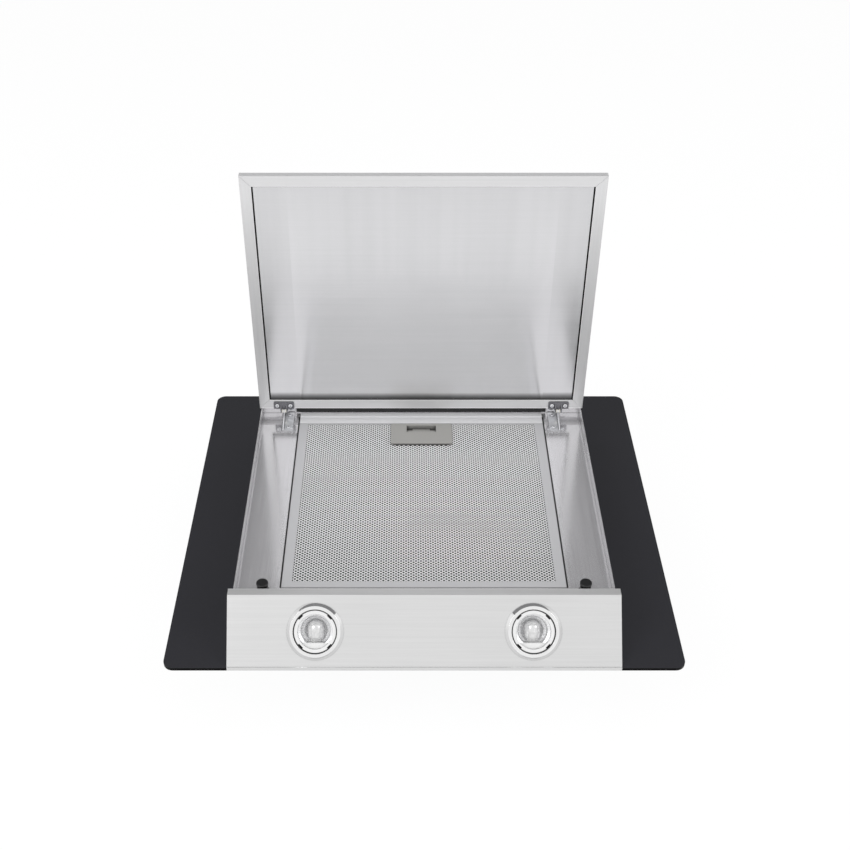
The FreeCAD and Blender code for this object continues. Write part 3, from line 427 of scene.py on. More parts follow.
def flange_grain(finish):
    """Scratch coordinates that turn with the mitred flange."""
    x, y, z = finish.axes()
    from_side = lid_half.x - x.size()
    from_end = lid_half.z - (z - lid_middle.z).size()
    upright = from_end.above(from_side) * (lid_middle.y - y).above(0)
    along = x + (z - x) * upright
    across = z + (x - z) * upright
    sockets = {0: along * SCRATCH_LENGTH, 1: y * SCRATCHES, 2: across * SCRATCHES}
    return finish.node("ShaderNodeCombineXYZ", {}, sockets)


INNER_FOLD = 13.6 * MM
LOWER_FOLD = 1.1 * MM
SKIN_DEPTH = 0.9 * MM
SKIN_SIDE = 1.1 * MM
SIDE_SHADE = 0.2
END_BRIGHTENING = 0.28


def painted_lid_light(finish, colour):
    """Painted light: shades the side flanges, paints highlights on the folds, and paints shade
    inside the lid's skin.
    """
    x, y, z = finish.axes()
    from_side = lid_half.x - x.size()
    from_end = lid_half.z - (z - lid_middle.z).size()
    inside_face = (lid_middle.y - y).above(0)
    # Painted shade on the side flanges, less towards their ends.
    from_middle = (z - lid_middle.z).size() * (1 / lid_half.z)
    side_shade = SIDE_SHADE - from_middle * from_middle * END_BRIGHTENING
    colour = finish.darken(colour, 1 - from_end.above(from_side) * inside_face * side_shade)
    # Painted highlights: white lines along the inner and lower folds.
    inner_fold = from_side.smaller(from_end).above(INNER_FOLD)
    lower_fold = (lid_low.z + LOWER_FOLD - z).above(0)
    folds = inner_fold.larger(lower_fold) * inside_face
    colour = finish.blend(folds, colour, (1, 1, 1, 1))
    # Painted shade: the inside of the tray, seen through the gap round the liner, goes nearly
    # black.
    within = (y - (lid_low.y + SKIN_DEPTH)).above(0) * ((lid_high.y - SKIN_DEPTH) - y).above(0)
    within = within * (from_side - SKIN_SIDE).above(0) * (from_end - SKIN_SIDE).above(0)
    return finish.blend(within, colour, screen(26, 26, 27))


liner_low, liner_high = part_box("lid_liner")
LINER_EDGE_SHADE = 0.6 * MM
FOOT_SHADE_HEIGHT = 12 * MM
LINER_MIDDLE = 166 * MM
LINER_TOP_SHADE = 0.86
REFLECTION_STREAKS = (70, 1, 1.4)
STREAK_SHARE = (0.95, 0.10)


def painted_liner_light(finish, colour):
    """Painted light and shade: near-black edges, a dark foot for the gap it mirrors, a tone that
    lightens from the top down and most in the middle, and streaks for smeared reflections.
    """
    x, y, z = finish.axes()
    # Painted shade along the outer edges and at the foot.
    edge = x.size().above(liner_high.x - LINER_EDGE_SHADE)
    foot = ((z - liner_low.z) / FOOT_SHADE_HEIGHT).held()
    from_top = (liner_high.z - z) * (1 / (liner_high.z - liner_low.z))
    middle = 1 - x.size().above(LINER_MIDDLE)
    # Painted reflection: faint vertical streaks.
    smears = STREAK_SHARE[0] + STREAK_SHARE[1] * finish.noise(REFLECTION_STREAKS, 2.0)
    # Painted light: darker at the top, lighter towards the foot, most in the middle.
    glow = LINER_TOP_SHADE + from_top * (1 - LINER_TOP_SHADE + middle * 0.20)
    return finish.darken(colour, (0.08 + 0.92 * foot ** 1.8) * (1 - edge * 0.95) * glow * smears)


steel_lid = brushed("steel_lid", screen(226, 226, 227), 0.34, metal=0.42, spot=flange_grain,
                    shade=painted_lid_light, shade_reach=0, edge=0.55)
steel_liner = brushed("steel_liner", screen(231, 231, 233), 0.18, depth=0.12, streaks=0.03,
                      metal=0.66, shade_reach=0, shade=painted_liner_light,
                      Anisotropic=1.0, Anisotropic_Rotation=0.25)
dress(steel_lid, "lid_tray")
dress(steel_liner, "lid_liner")

# %% [markdown]
# ## Black glass
# The plate is toughened glass, enamelled black on its far side. It could be modelled as clear
# glass over paint, but the paint is all that shows, so one shader with a dark base and a
# polished surface does the same at no cost. Faint specks and haze keep it from being a flat
# black. Its ground edges are made a rough mirror and painted nearly black, for the dark
# reflection along them: a mask finds them by their sideways normals.

# %% Black glass
glass = Finish("black_glass")
specks = glass.noise((700, 700, 700), 2.0)
haze = glass.noise((5, 5, 5), 3.0)
# Painted reflection: the sideways edge faces are painted nearly black.
edge_faces = 1 - glass.faces_along("Z").above(0.5)
glass.wear(
    Base_Color=glass.blend(
        edge_faces,
        glass.blend(specks * 0.5 + haze * 0.5, screen(40, 40, 44), screen(49, 49, 54)),
        screen(8, 8, 9),
    ),
    Roughness=0.10 + haze * 0.08 + edge_faces * 0.35,
    Metallic=edge_faces,
    IOR=1.5,
)
dress(glass.done(), "glass_panel")

# %% [markdown]
# ## Plastics and rubber
# Moulded plastic takes the texture of its mould: a fine, even sandpaper that scatters the
# light. Two noises do it. A fine one makes the bump, and a wide one shifts the colour and the
# shine a little, as handling does.

# %% Moulded finishes
def moulded(name, colour, rough, texture=0.3, grit=1400.0, shade_reach=0, **more):
    """Plastic or rubber with a fine mould texture."""
    plastic = Finish(name)
    fine = plastic.noise((grit, grit, grit), 2.0)
    wide = plastic.noise((14, 14, 14), 3.0)
    shown = plastic.blend(fine * 0.5 + wide * 0.5, tinted(colour, 0.88), tinted(colour, 1.12))
    # Painted shade: the colour darkens where other surfaces lie close.
    if shade_reach:
        shown = plastic.darken(shown, plastic.painted_corner_shade(shade_reach, 0.1))
    plastic.wear(
        Base_Color=shown,
        Roughness=rough + (wide - 0.5) * 0.12,
        Normal=plastic.bump(texture, 0.1, fine, Normal=plastic.rounded(0.3)),
        **more,
    )
    return plastic.done()


black_plastic = moulded("black_plastic", screen(10, 10, 11), 0.3)
# The handle and buttons get painted shade in their corners and pocket.
grey_plastic = moulded("grey_plastic", screen(164, 163, 160), 0.5, shade_reach=6.0)
seal_rubber = moulded("seal_rubber", screen(26, 26, 26), 0.75, texture=0.5)
dress(black_plastic, "catch_sleeve_left", "catch_sleeve_right", "catch_plunger_left",
      "catch_plunger_right", "inlet_ring", "impeller", "damper_flap_left", "damper_flap_right",
      "cable_gland", "switch_body")
dress(grey_plastic, "filter_handle", "filter_latch", "button_off", "button_low", "button_high",
      "button_lamp")
dress(seal_rubber, "glass_gasket", "blower_feet")
dress(moulded("damping_felt", screen(34, 34, 35), 0.95, texture=0.9, grit=500.0), "lid_pad")
dress(moulded("natural_nylon", screen(226, 224, 216), 0.4), "hinge_washers")
dress(moulded("white_plastic", screen(226, 226, 222), 0.35), "motor_capacitor", "terminal_box")
ceramic = moulded("lamp_ceramic", screen(254, 254, 253), 0.25, texture=0.1, Metallic=0.35)
dress(ceramic, "lamp_holders")

# %% [markdown]
# ## Plated, cast and galvanised metal
# Screws and hinges are zinc-plated and bright, with a faint bluish bloom, and the zinc gets
# painted shade in its corners. The hinge leaves get a darker copy of the zinc: painted shade,
# for the shadow they lie in. Galvanised sheet has spangle: crystals of zinc, each with its own
# shade and shine. A Voronoi texture is the natural choice, because it fills a surface with just
# such cells.

# %% Metal finishes
def plated(name, tone, rough, shade_reach=0, metal_share=1.0):
    """Smooth metal with a cloudy bloom and faint marks."""
    metal = Finish(name)
    cloud = metal.noise((60, 60, 60), 3.0)
    marks = metal.noise((900, 900, 900), 3.0)
    colour = metal.blend(cloud, tinted(tone, 0.9), tone)
    # Painted shade: the colour darkens where other surfaces lie close.
    if shade_reach:
        colour = metal.darken(colour, metal.painted_corner_shade(shade_reach, 0.0))
    metal.wear(
        Base_Color=colour,
        Roughness=rough + (cloud - 0.5) * 0.12 + (marks - 0.5) * 0.08,
        Metallic=metal_share,
        Normal=metal.bump(0.12, 0.05, marks, Normal=metal.rounded(0.25)),
    )
    return metal.done()


def galvanised():
    """Zinc-dipped sheet with its pattern of crystals."""
    sheet = Finish("galvanised_sheet")
    where = {"Vector": sheet.place(), "Scale": 130.0}
    crystals = sheet.node("ShaderNodeTexVoronoi", {}, where, out=1)
    shade = sheet.node("ShaderNodeSeparateColor", {}, {0: crystals})
    grime = sheet.noise((18, 18, 18), 4.0)
    mottle = shade * 0.6 + grime * 0.4
    sheet.wear(
        Base_Color=sheet.blend(mottle, screen(164, 167, 170), screen(206, 209, 211)),
        Roughness=0.34 + shade * 0.14 + grime * 0.10,
        Metallic=0.85,
        Normal=sheet.bump(0.15, 0.1, shade),
    )
    return sheet.done()


def lacquered(name, colour):
    """Hammered lacquer on a motor's can."""
    paint = Finish(name)
    where = {"Vector": paint.place(), "Scale": 420.0}
    dimples = paint.node("ShaderNodeTexVoronoi", {"feature": "SMOOTH_F1"}, where)
    wide = paint.noise((20, 20, 20), 3.0)
    paint.wear(
        Base_Color=paint.blend(dimples + wide * 0.4, tinted(colour, 0.8), colour),
        Roughness=0.3 + wide * 0.15,
        Metallic=0.4,
        Normal=paint.bump(0.5, 0.3, dimples),
    )
    return paint.done()


zinc = plated("bright_zinc", screen(244, 245, 248), 0.12, shade_reach=2.0, metal_share=0.55)
# Painted shade: the hinge leaves get a darker copy of the zinc, for the shadow they lie in.
shaded_leaf_zinc = plated("shadowed_zinc", screen(128, 128, 132), 0.12, shade_reach=5.0)
spring_steel = plated("spring_steel", screen(190, 190, 190), 0.25)
galvanised_sheet = galvanised()
dress(shaded_leaf_zinc, "hinge_leaf_left", "hinge_leaf_right")
dress(zinc, "hinge_bracket_left", "hinge_bracket_right", "hinge_pins",
      "lid_hinge_screws", "body_hinge_screws", "glass_fixings")
dress(spring_steel, "catch_springs", "latch_springs", "motor_shaft", "damper_rods")
dress(galvanised_sheet, "blower_housing", "blower_scroll", "duct_spigot")
dress(lacquered("motor_lacquer", screen(132, 135, 138)), "motor")
# Painted shade: the filter seat gets near-black lacquer so that the gaps beside the filter read
# dark.
dress(lacquered("seat_painted_shade", screen(22, 22, 23)), "filter_seat")

# %% [markdown]
# ## The filter and the lamp rings
# The filter's frame is rolled aluminium with a satin finish; its back rail gets painted light,
# for the light from the open lid. Behind its face lies knitted aluminium wool, in the shade of
# the sheet, and that shade is painted into the wool's colour, so that every hole above it reads
# dark. The lamp's rings are chrome and pale lacquer, and its reflector is bright aluminium. Its
# lens is clear glass. Bent light through real glass would leave the reflector dark, so thin
# glass is made by its opacity instead: nearly none seen straight on, and more towards the rim.
# The bulb is milky quartz, so it is more opaque, and its rim is a thin grey outline.

# %% Filter and lamp finishes
FRAME_RAIL = 14 * MM
FRAME_FACE = 0.5 * MM
filter_low, filter_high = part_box("filter_frame")


def painted_rail_light(finish, colour):
    """Painted light: the frame's back rail, close to the bright lid, is blended towards white."""
    x, y, z = finish.axes()
    at_back = (y - (filter_high.y - FRAME_RAIL)).above(0)
    on_top = (z - (filter_high.z - FRAME_FACE)).above(0)
    return finish.blend(at_back * on_top, colour, screen(250, 250, 252))


# The frame gets painted corner shade, and painted light on its back rail.
frame_aluminium = brushed("satin_aluminium", screen(203, 203, 205), 0.40, depth=0.02,
                          streaks=0.01, metal=0.35, edge=0.3, shade=painted_rail_light)
dress(frame_aluminium, "filter_frame", "filter_back_mesh")

wool = Finish("aluminium_wool")
threads = wool.node(
    "ShaderNodeTexWave", {"bands_direction": "DIAGONAL"},
    {"Vector": wool.place(), "Scale": 260.0, "Distortion": 9.0, "Detail": 3.0},
)
tufts = wool.noise((240, 240, 240), 4.0)
# Painted shade: the wool's colour is kept near black, for the shade it lies in under the sheet.
wool.wear(
    Base_Color=wool.blend(threads * tufts, screen(8, 8, 9), screen(46, 46, 49)),
    Roughness=0.45 + tufts * 0.2,
    Metallic=0.7,
    Normal=wool.bump(1.0, 0.8, threads * tufts),
)
dress(wool.done(), "filter_pack", "filter_face_mesh")

chrome = plated("lamp_ring_chrome", screen(240, 240, 240), 0.08)
pale_lacquer = moulded("pale_lacquer", screen(244, 244, 244), 0.25, texture=0.08)
reflector = brushed("lamp_reflector", screen(253, 253, 254), 0.26, depth=0.04, streaks=0.01,
                    metal=0.55, shade_reach=0)
dress(chrome, "lamp_bezel_left", "lamp_bezel_right")
dress(pale_lacquer, "lamp_retainer_left", "lamp_retainer_right", "lamp_cups")
dress(reflector, "lamp_reflector_left", "lamp_reflector_right")

clear = Finish("lens_glass")
turned_away = clear.node("ShaderNodeLayerWeight", {}, {"Blend": 0.5}, out=1)
film = clear.noise((80, 80, 80))
clear.wear(
    Base_Color=clear.blend(film, screen(246, 247, 248), screen(252, 253, 254)),
    Alpha=0.05 + turned_away ** 3 * 0.4,
    Roughness=0.04 + film * 0.02,
)
clear_glass = clear.done()

quartz = Finish("bulb_quartz")
turned_away = quartz.node("ShaderNodeLayerWeight", {}, {"Blend": 0.5}, out=1)
quartz.wear(
    Base_Color=quartz.blend(turned_away ** 3, screen(255, 255, 255), screen(150, 151, 153)),
    Alpha=0.7 + turned_away * 0.25,
    Metallic=0.5,
    Roughness=0.14 + quartz.noise((90, 90, 90)) * 0.04,
)
quartz = quartz.done()
dress(clear_glass, "lamp_lens_left", "lamp_lens_right", "lamp_bulb_left", "lamp_bulb_right")

# %% [markdown]
# ## The perforated sheet
# A grease filter is faced with thin sheet, punched full of small holes in a staggered pattern.
# Thousands of Booleans would be slow, and a picture of holes would be flat. Instead one
# six-sided cell is made with a hole in it. Six-sided cells fit together without a gap, so one
# is copied into a column, and the column is copied across. The sheet comes in two halves, to
# keep each piece light. It stops where the handle's pocket passes through it.

# %% Perforated sheet
COLUMN_PITCH = 2.98
ROW_PITCH = 4.3
HOLE_RADIUS = 1.5
SHEET_THICKNESS = 0.4
SHEET_MARGIN = 3
CELL_RADIUS = COLUMN_PITCH / 1.5
HANDLE_CLEAR = (38.0, 84.0)
SHEET_FRONT_SHADE = 0.13


def corners_of(parts):
    """The corners among parts of a mesh."""
    return [part for part in parts if isinstance(part, bmesh.types.BMVert)]


def copy_along(bm, parts, step):
    """Copies parts of a mesh by a step."""
    copied = bmesh.ops.duplicate(bm, geom=parts)["geom"]
    bmesh.ops.translate(bm, vec=step, verts=corners_of(copied))


def everything(bm):
    """All the parts of a mesh."""
    return list(bm.verts) + list(bm.edges) + list(bm.faces)


def thicken(bm, height):
    """Raises a flat mesh into a closed sheet."""
    raised = bmesh.ops.extrude_face_region(bm, geom=list(bm.faces))["geom"]
    bmesh.ops.translate(bm, vec=(0, 0, height), verts=corners_of(raised))
    bmesh.ops.recalc_face_normals(bm, faces=bm.faces)


def add_piece(name, bm, material, body, place=Matrix.Identity(4), smooth=False):
    """Makes a piece from a mesh drawn in millimetres, and sends it along with a body."""
    bmesh.ops.transform(bm, matrix=Matrix.Scale(MM, 4) @ place, verts=bm.verts)
    for face in bm.faces:
        face.smooth = smooth
    piece = new_piece(name, bm)
    piece.data.materials.append(material)
    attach(piece, body)
    return piece


def punched_sheet(first_column, last_column, y_low, y_high):
    """Punched sheet from one column to another, flat on Z = 0."""
    bm = bmesh.new()
    rim = bmesh.ops.create_circle(bm, segments=6, radius=CELL_RADIUS)["verts"]
    bmesh.ops.create_circle(bm, segments=6, radius=HOLE_RADIUS)
    quarter = Matrix.Rotation(math.pi / 2, 3, "Z")
    bmesh.ops.rotate(bm, cent=(0, 0, 0), matrix=quarter, verts=bm.verts)
    bmesh.ops.scale(bm, vec=(1, ROW_PITCH / (CELL_RADIUS * math.sqrt(3)), 1), verts=rim)
    bmesh.ops.bridge_loops(bm, edges=bm.edges)
    bmesh.ops.translate(bm, vec=(0, y_low, 0), verts=bm.verts)
    cell = everything(bm)
    for row in range(1, round((y_high - y_low) / ROW_PITCH)):
        copy_along(bm, cell, (0, row * ROW_PITCH, 0))
    column = everything(bm)
    for place in range(first_column, last_column):
        copy_along(bm, column, (place * COLUMN_PITCH, place % 2 * ROW_PITCH / 2, 0))
    bmesh.ops.delete(bm, geom=[part for part in column if part.is_valid], context="VERTS")
    bmesh.ops.remove_doubles(bm, verts=bm.verts, dist=0.01)
    middles = [(face, face.calc_center_median()) for face in bm.faces]
    covered = [face for face, middle in middles
               if abs(middle.x) < HANDLE_CLEAR[0] and middle.y > HANDLE_CLEAR[1]]
    bmesh.ops.delete(bm, geom=covered, context="FACES")
    thicken(bm, SHEET_THICKNESS)
    return bm


sheet_low, sheet_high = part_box("filter_face_mesh")


def painted_sheet_shade(finish, colour):
    """Painted shade: the sheet is a little darker towards the front, away from the bright open lid.
    """
    x, y, z = finish.axes()
    forward = (sheet_high.y - y) * (1 / (sheet_high.y - sheet_low.y))
    return finish.darken(colour, 1 - forward * SHEET_FRONT_SHADE)


sheet_steel = brushed("perforated_steel", screen(254, 254, 255), 0.34, depth=0.02, streaks=0.01,
                      metal=0.35, edge=0.15, shade_reach=0, shade=painted_sheet_shade)
SHEET_HALVES = {"perforated_sheet_left": (-54, 1), "perforated_sheet_right": (1, 55)}
for name, columns in SHEET_HALVES.items():
    bm = punched_sheet(*columns, sheet_low.y / MM + SHEET_MARGIN, sheet_high.y / MM - SHEET_MARGIN)
    top_face = Matrix.Translation((0, 0, sheet_high.z / MM - SHEET_THICKNESS))
    piece = add_piece(name, bm, sheet_steel, "hood_body", top_face)
    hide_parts("filter_face_mesh")
    print(name, len(piece.data.polygons), "faces")

# %% [markdown]
# ## The lamps
# Each lamp sinks into the sloped band: a flat ring, a ring with four notches that a tool can
# turn, a clear lens, a stepped reflector and a glass capsule that lies up the slope. A capsule
# could be an egg, but real ones are drawn tube with a round end, pinched flat at the foot. So a
# profile is turned, and then its foot is pressed flat. The flat ring has a steep outer slope,
# which mirrors the dim ceiling as a grey crescent. The lamp's own frame has Z out of the band
# and Y up the slope.

# %% Bulbs
BAND_ANGLE = math.atan2(62.5, 55.0)
LAMP_PLACES = {"left": (-125.0, -232.5, 191.25), "right": (125.0, -232.5, 191.25)}
BULB_RADIUS = 9.3
BULB_FOOT_Y = -13.4
BULB_DEPTH = 12.3
RING_BORE = 25.3
RING_RADIUS = 32.6
RING_CHAMFER = 3.4
RING_HEIGHT = 3.87
SLEEVE_WALL = 0.8
SLEEVE_DEPTH = 8.0
CAPSULE_FOOT = [(0, 0.3), (6.2, 0.3), (6.2, 2.4), (7.6, 4.2), (BULB_RADIUS, 6.0)]
DOME_START = 17.0
DOME_HEIGHT = 7.9
PINCH_BELOW = 3
FILAMENT_HEIGHT = 10.5
POST = [(0, 1.5), (0.35, 1.5), (0.35, 10.8), (0, 10.8)]
POST_OUT = 3.0


def turned(profile, steps=40):
    """A profile of (radius, height) points, turned about Z."""
    bm = bmesh.new()
    points = [bm.verts.new((radius, 0, height)) for radius, height in profile]
    lines = [bm.edges.new(pair) for pair in zip(points, points[1:])]
    bmesh.ops.spin(bm, geom=points + lines, cent=(0, 0, 0), axis=(0, 0, 1),
                   angle=2 * math.pi, steps=steps, use_merge=True)
    bmesh.ops.remove_doubles(bm, verts=bm.verts, dist=0.001)
    bmesh.ops.recalc_face_normals(bm, faces=bm.faces)
    return bm


def lamp_frame(side):
    """The lamp's own frame: Z points out of the band and Y up the slope."""
    return Matrix.Translation(LAMP_PLACES[side]) @ Matrix.Rotation(BAND_ANGLE, 4, "X")


def lay_up_slope():
    """Turns a shape drawn along Z to lie up the slope, at the bulb's depth."""
    return Matrix.Translation((0, BULB_FOOT_Y, -BULB_DEPTH)) @ Matrix.Rotation(-math.pi / 2, 4, "X")


def capsule():
    """A drawn tube with a domed end, pinched flat at its foot."""
    turns = [math.pi / 12 * step for step in range(7)]
    dome = [(BULB_RADIUS * math.cos(turn), DOME_START + DOME_HEIGHT * math.sin(turn))
            for turn in turns]
    bm = turned(CAPSULE_FOOT + dome)
    pinch = [corner for corner in bm.verts if corner.co.z < PINCH_BELOW]
    bmesh.ops.scale(bm, vec=(1, 0.4, 1), verts=pinch)
    return bm


COIL_STEPS = 12


def coil(turns, radius, wire, pitch):
    """A wire wound along X, with its middle at the origin."""
    bm = bmesh.new()
    bmesh.ops.create_circle(bm, segments=6, radius=wire)
    bmesh.ops.translate(bm, vec=(-turns * pitch / 2, radius, 0), verts=bm.verts)
    bmesh.ops.spin(bm, geom=everything(bm), cent=(0, 0, 0), axis=(1, 0, 0),
                   dvec=(pitch / COIL_STEPS, 0, 0), angle=2 * math.pi * turns,
                   steps=turns * COIL_STEPS)
    return bm


def chrome_ring():
    """The flat ring with a steep outer chamfer, on the sleeve that goes through the band."""
    sleeve = RING_BORE + SLEEVE_WALL
    return turned([
        (RING_BORE, -SLEEVE_DEPTH), (sleeve, -SLEEVE_DEPTH), (sleeve, 0), (RING_RADIUS, 0),
        (RING_RADIUS - RING_CHAMFER, RING_HEIGHT), (RING_BORE + 0.4, RING_HEIGHT),
        (RING_BORE, RING_HEIGHT - 0.5), (RING_BORE, -SLEEVE_DEPTH),
    ], steps=96)


tungsten = Finish("bulb_wire")
grains = tungsten.noise((900, 900, 900))
tungsten.wear(
    Base_Color=tungsten.blend(grains, screen(40, 39, 38), screen(66, 65, 64)),
    Metallic=1.0,
    Roughness=0.35,
)
tungsten = tungsten.done()

for side in LAMP_PLACES:
    frame_here = lamp_frame(side)
    ring = add_piece("lamp_ring_" + side, chrome_ring(), chrome, "hood_body",
                     frame_here)
    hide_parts("lamp_bezel_" + side)
    stand = frame_here @ lay_up_slope()
    bulb = add_piece("bulb_capsule_" + side, capsule(), quartz, "hood_body",
                     stand, smooth=True)
    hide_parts("lamp_bulb_" + side)
    filament = coil(turns=7, radius=0.9, wire=0.28, pitch=0.8)
    bmesh.ops.translate(filament, vec=(0, 0, FILAMENT_HEIGHT), verts=filament.verts)
    add_piece("bulb_filament_" + side, filament, tungsten, "hood_body",
              stand, smooth=True)
    for sign, post in ((-1, "a"), (1, "b")):
        wire = turned(POST, steps=10)
        bmesh.ops.translate(wire, vec=(sign * POST_OUT, 0, 0), verts=wire.verts)
        add_piece("bulb_post_" + post + "_" + side, wire, tungsten, "hood_body",
                  stand, smooth=True)
    print("lamp", side, "at", LAMP_PLACES[side])

# %% [markdown]
# ## Seals
# Four kinds of dark piece stand in for shade in the bright steel. A strip of black foam along
# the back wall under the open lid stands for the shadow there. A black rubber ring between the
# two rings of each lamp stands for the shade in the gap between them, a black foam washer behind
# the notched ring makes its notches read dark, and a black strip along each side of the filter
# stands for the shade down in the gap there. The strips could be plain boxes, but rubber and
# foam are soft, so their edges are rounded and their faces a little uneven. One function makes
# every such box. The ring is a small circle, turned round the lamp.

# %% Dark strips and rings that stand for shade
def bar(bm, low, high, roundness=0.3, segments=2):
    """Adds a box between two corners, with rounded edges."""
    low, high = Vector(low), Vector(high)
    corners = bmesh.ops.create_cube(bm, size=1.0)["verts"]
    bmesh.ops.scale(bm, vec=high - low, verts=corners)
    bmesh.ops.translate(bm, vec=(low + high) / 2, verts=corners)
    edges = list(dict.fromkeys(edge for corner in corners for edge in corner.link_edges))
    bmesh.ops.bevel(bm, geom=edges, offset=roundness, segments=segments, profile=0.5,
                    affect="EDGES", material=-1)


# Painted shade: a black foam strip stands for the shadow on the back wall under the lid, with
# painted corner shade as well.
foam = moulded("black_foam", screen(46, 46, 47), 0.9, texture=0.3, grit=1200.0, shade_reach=6.0)
SHADE_STRIP_LOW = (-173.0, 153.4, 212.0)
SHADE_STRIP_HIGH = (173.0, 154.4, 221.5)
bm = bmesh.new()
bar(bm, SHADE_STRIP_LOW, SHADE_STRIP_HIGH, 0.35, 3)
add_piece("back_wall_shade_strip", bm, foam, "hood_body")

GAP_RING_RADIUS = 24.9
GAP_RING_WIRE = 0.95
GAP_RING_HEIGHT = 2.2
SLOT_SHADE_PROFILE = [(22.3, -0.5), (25.2, -0.5), (25.2, -0.1), (22.3, -0.1), (22.3, -0.5)]
for side in LAMP_PLACES:
    bm = bmesh.new()
    bmesh.ops.create_circle(bm, segments=12, radius=GAP_RING_WIRE)
    upright = Matrix.Rotation(math.pi / 2, 3, "X")
    bmesh.ops.rotate(bm, cent=(0, 0, 0), matrix=upright, verts=bm.verts)
    bmesh.ops.translate(bm, vec=(GAP_RING_RADIUS, 0, GAP_RING_HEIGHT), verts=bm.verts)
    bmesh.ops.spin(bm, geom=everything(bm), cent=(0, 0, 0), axis=(0, 0, 1),
                   angle=2 * math.pi, steps=72, use_merge=True)
    bmesh.ops.recalc_face_normals(bm, faces=bm.faces)
    # Painted shade: a black ring stands for the shade in the gap between the lamp's two rings.
    add_piece("lamp_gap_shade_ring_" + side, bm, black_plastic, "hood_body",
              lamp_frame(side), smooth=True)
    # Painted shade: a black washer behind the notched ring makes the notches read dark.
    washer = turned(SLOT_SHADE_PROFILE, steps=48)
    add_piece("lamp_slot_shade_" + side, washer, foam, "hood_body", lamp_frame(side))

GAP_SHADE = 1.9
GAP_SHADE_Z = (206.3, 210.3)
# Painted shade: black strips fill the gaps along each side of the filter, for the shade down in
# them.
for sign, side in ((-1, "left"), (1, "right")):
    edge = filter_high.x / MM
    x_low, x_high = sorted((sign * edge, sign * (edge + GAP_SHADE)))
    shade_low = (x_low, filter_low.y / MM, GAP_SHADE_Z[0])
    shade_high = (x_high, filter_high.y / MM, GAP_SHADE_Z[1])
    bm = bmesh.new()
    bar(bm, shade_low, shade_high, 0.2)
    add_piece("filter_gap_shade_" + side, bm, black_plastic, "hood_body")
# The pieces printed here stand for shade: the strip under the lid, the lamp rings and the strips by
# the filter.
print("foam strip, lamp seals and filter seals")

# %% [markdown]
# ## A lip, seams, rivets and ribs
# Sheet-metal boxes show how they were made: a seam where one sheet laps over the next, rivets
# along it, and pressed ribs that keep a wide wall from drumming. They could be painted on with a
# bump, but seen along the wall a painted rivet is flat. Each rivet is a small turned dome with
# few faces, and one mesh holds a whole row. The seams and ribs are thin bars with round edges. A
# narrow lip that the filter's back edge hooks under is made the same way.

# %% Lip, seams, rivets and ribs
LIP_Y = (144.8, 153.0)
LIP_Z = (210.02, 210.6)
bm = bmesh.new()
bar(bm, (filter_low.x / MM, LIP_Y[0], LIP_Z[0]), (filter_high.x / MM, LIP_Y[1], LIP_Z[1]), 0.2)
# Painted light: the lip gets a paler copy of the frame's aluminium, to make up for the lid's
# shadow.
painted_light_aluminium = brushed("painted_light_aluminium", screen(244, 244, 246), 0.45, depth=0.02,
                         streaks=0.01, metal=0.2, edge=0.3, shade_reach=0)
add_piece("filter_back_lip", bm, painted_light_aluminium, "hood_body")

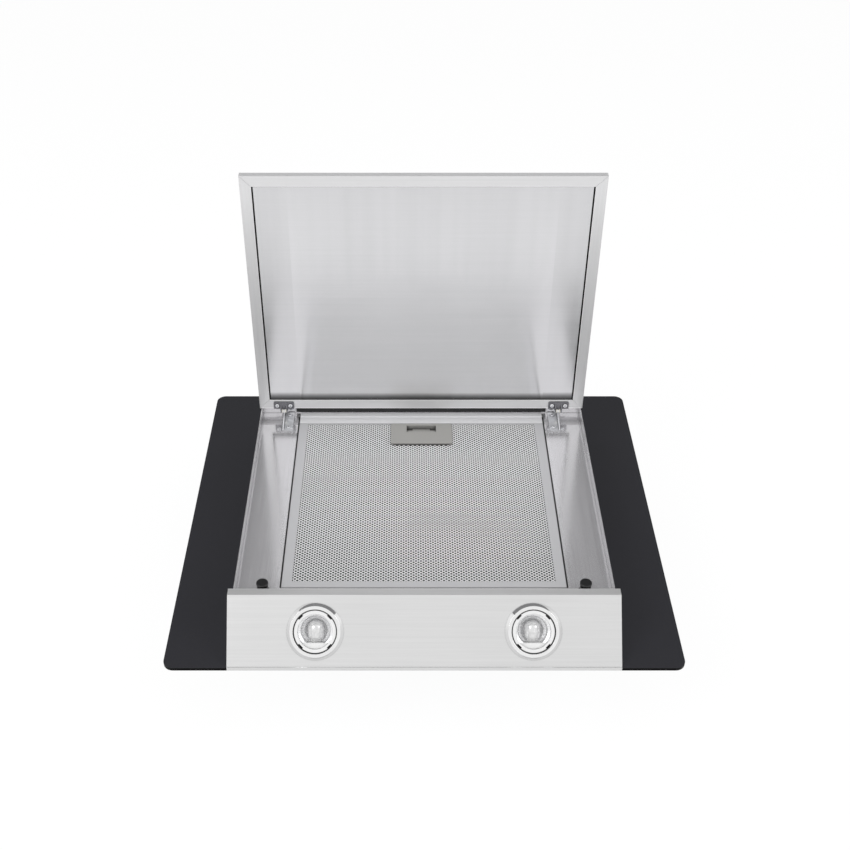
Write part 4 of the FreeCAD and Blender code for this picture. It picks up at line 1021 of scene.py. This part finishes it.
HOUSE_SIDE = 200.65
HOUSE_BACK = 136.0
SEAM_WIDTH = 13.0
SEAM_THICKNESS = 0.8
SEAM_FOOT = 2
SEAM_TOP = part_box("blower_housing")[1].z / MM - 3
RIB_PROUD = 1.8
RIB_Y = (-88, 108)
RIB_WIDTH = 9
RIB_HEIGHTS = (26, 104)
bm = bmesh.new()
for sign in (-1, 1):
    side_low, side_high = sorted((sign * HOUSE_SIDE, sign * (HOUSE_SIDE + SEAM_THICKNESS)))
    bar(bm, (side_low, HOUSE_BACK - SEAM_WIDTH, SEAM_FOOT), (side_high, HOUSE_BACK, SEAM_TOP))
    back_low, back_high = sorted((sign * (HOUSE_SIDE - SEAM_WIDTH), sign * HOUSE_SIDE))
    bar(bm, (back_low, HOUSE_BACK, SEAM_FOOT), (back_high, HOUSE_BACK + SEAM_THICKNESS, SEAM_TOP))
    rib_low, rib_high = sorted((sign * (HOUSE_SIDE - 0.5), sign * (HOUSE_SIDE + RIB_PROUD)))
    for height in RIB_HEIGHTS:
        bar(bm, (rib_low, RIB_Y[0], height), (rib_high, RIB_Y[1], height + RIB_WIDTH), 1.6, 4)
add_piece("housing_seams", bm, galvanised_sheet, "hood_body")

RIVET = [(0, 1.3), (1.3, 1.05), (2.2, 0.5), (2.5, 0), (0, 0)]
RIVET_ROWS = 5
RIVET_LOW = 10
RIVET_STEP = 33.25


def rivet(bm, place, turn):
    """Adds a rivet's head at a place, turned to face out of its wall."""
    head = turned(RIVET, steps=10)
    bmesh.ops.transform(head, matrix=Matrix.Translation(place) @ turn, verts=head.verts)
    spare = bpy.data.meshes.new("rivet")
    head.to_mesh(spare)
    head.free()
    bm.from_mesh(spare)
    bpy.data.meshes.remove(spare)


bm = bmesh.new()
backward = Matrix.Rotation(-math.pi / 2, 4, "X")
for row in range(RIVET_ROWS):
    height = RIVET_LOW + row * RIVET_STEP
    for sign in (-1, 1):
        outward = Matrix.Rotation(sign * math.pi / 2, 4, "Y")
        on_side = (sign * (HOUSE_SIDE + SEAM_THICKNESS), HOUSE_BACK - SEAM_WIDTH / 2, height)
        on_back = (sign * (HOUSE_SIDE - SEAM_WIDTH / 2), HOUSE_BACK + SEAM_THICKNESS, height)
        rivet(bm, on_side, outward)
        rivet(bm, on_back, backward)

SPIGOT_FLANGE = 1.5
SPIGOT_MIDDLE = Vector((0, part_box("duct_spigot")[0].y / MM + SPIGOT_FLANGE, 76.0))
SPIGOT_RIVETS = 66.0
for turn in range(6):
    angle = math.pi / 3 * turn + math.pi / 6
    outwards = Vector((math.cos(angle), 0, math.sin(angle)))
    rivet(bm, SPIGOT_MIDDLE + outwards * SPIGOT_RIVETS, backward)
add_piece("housing_rivets", bm, spring_steel, "hood_body", smooth=True)
print("seams, ribs and rivets")
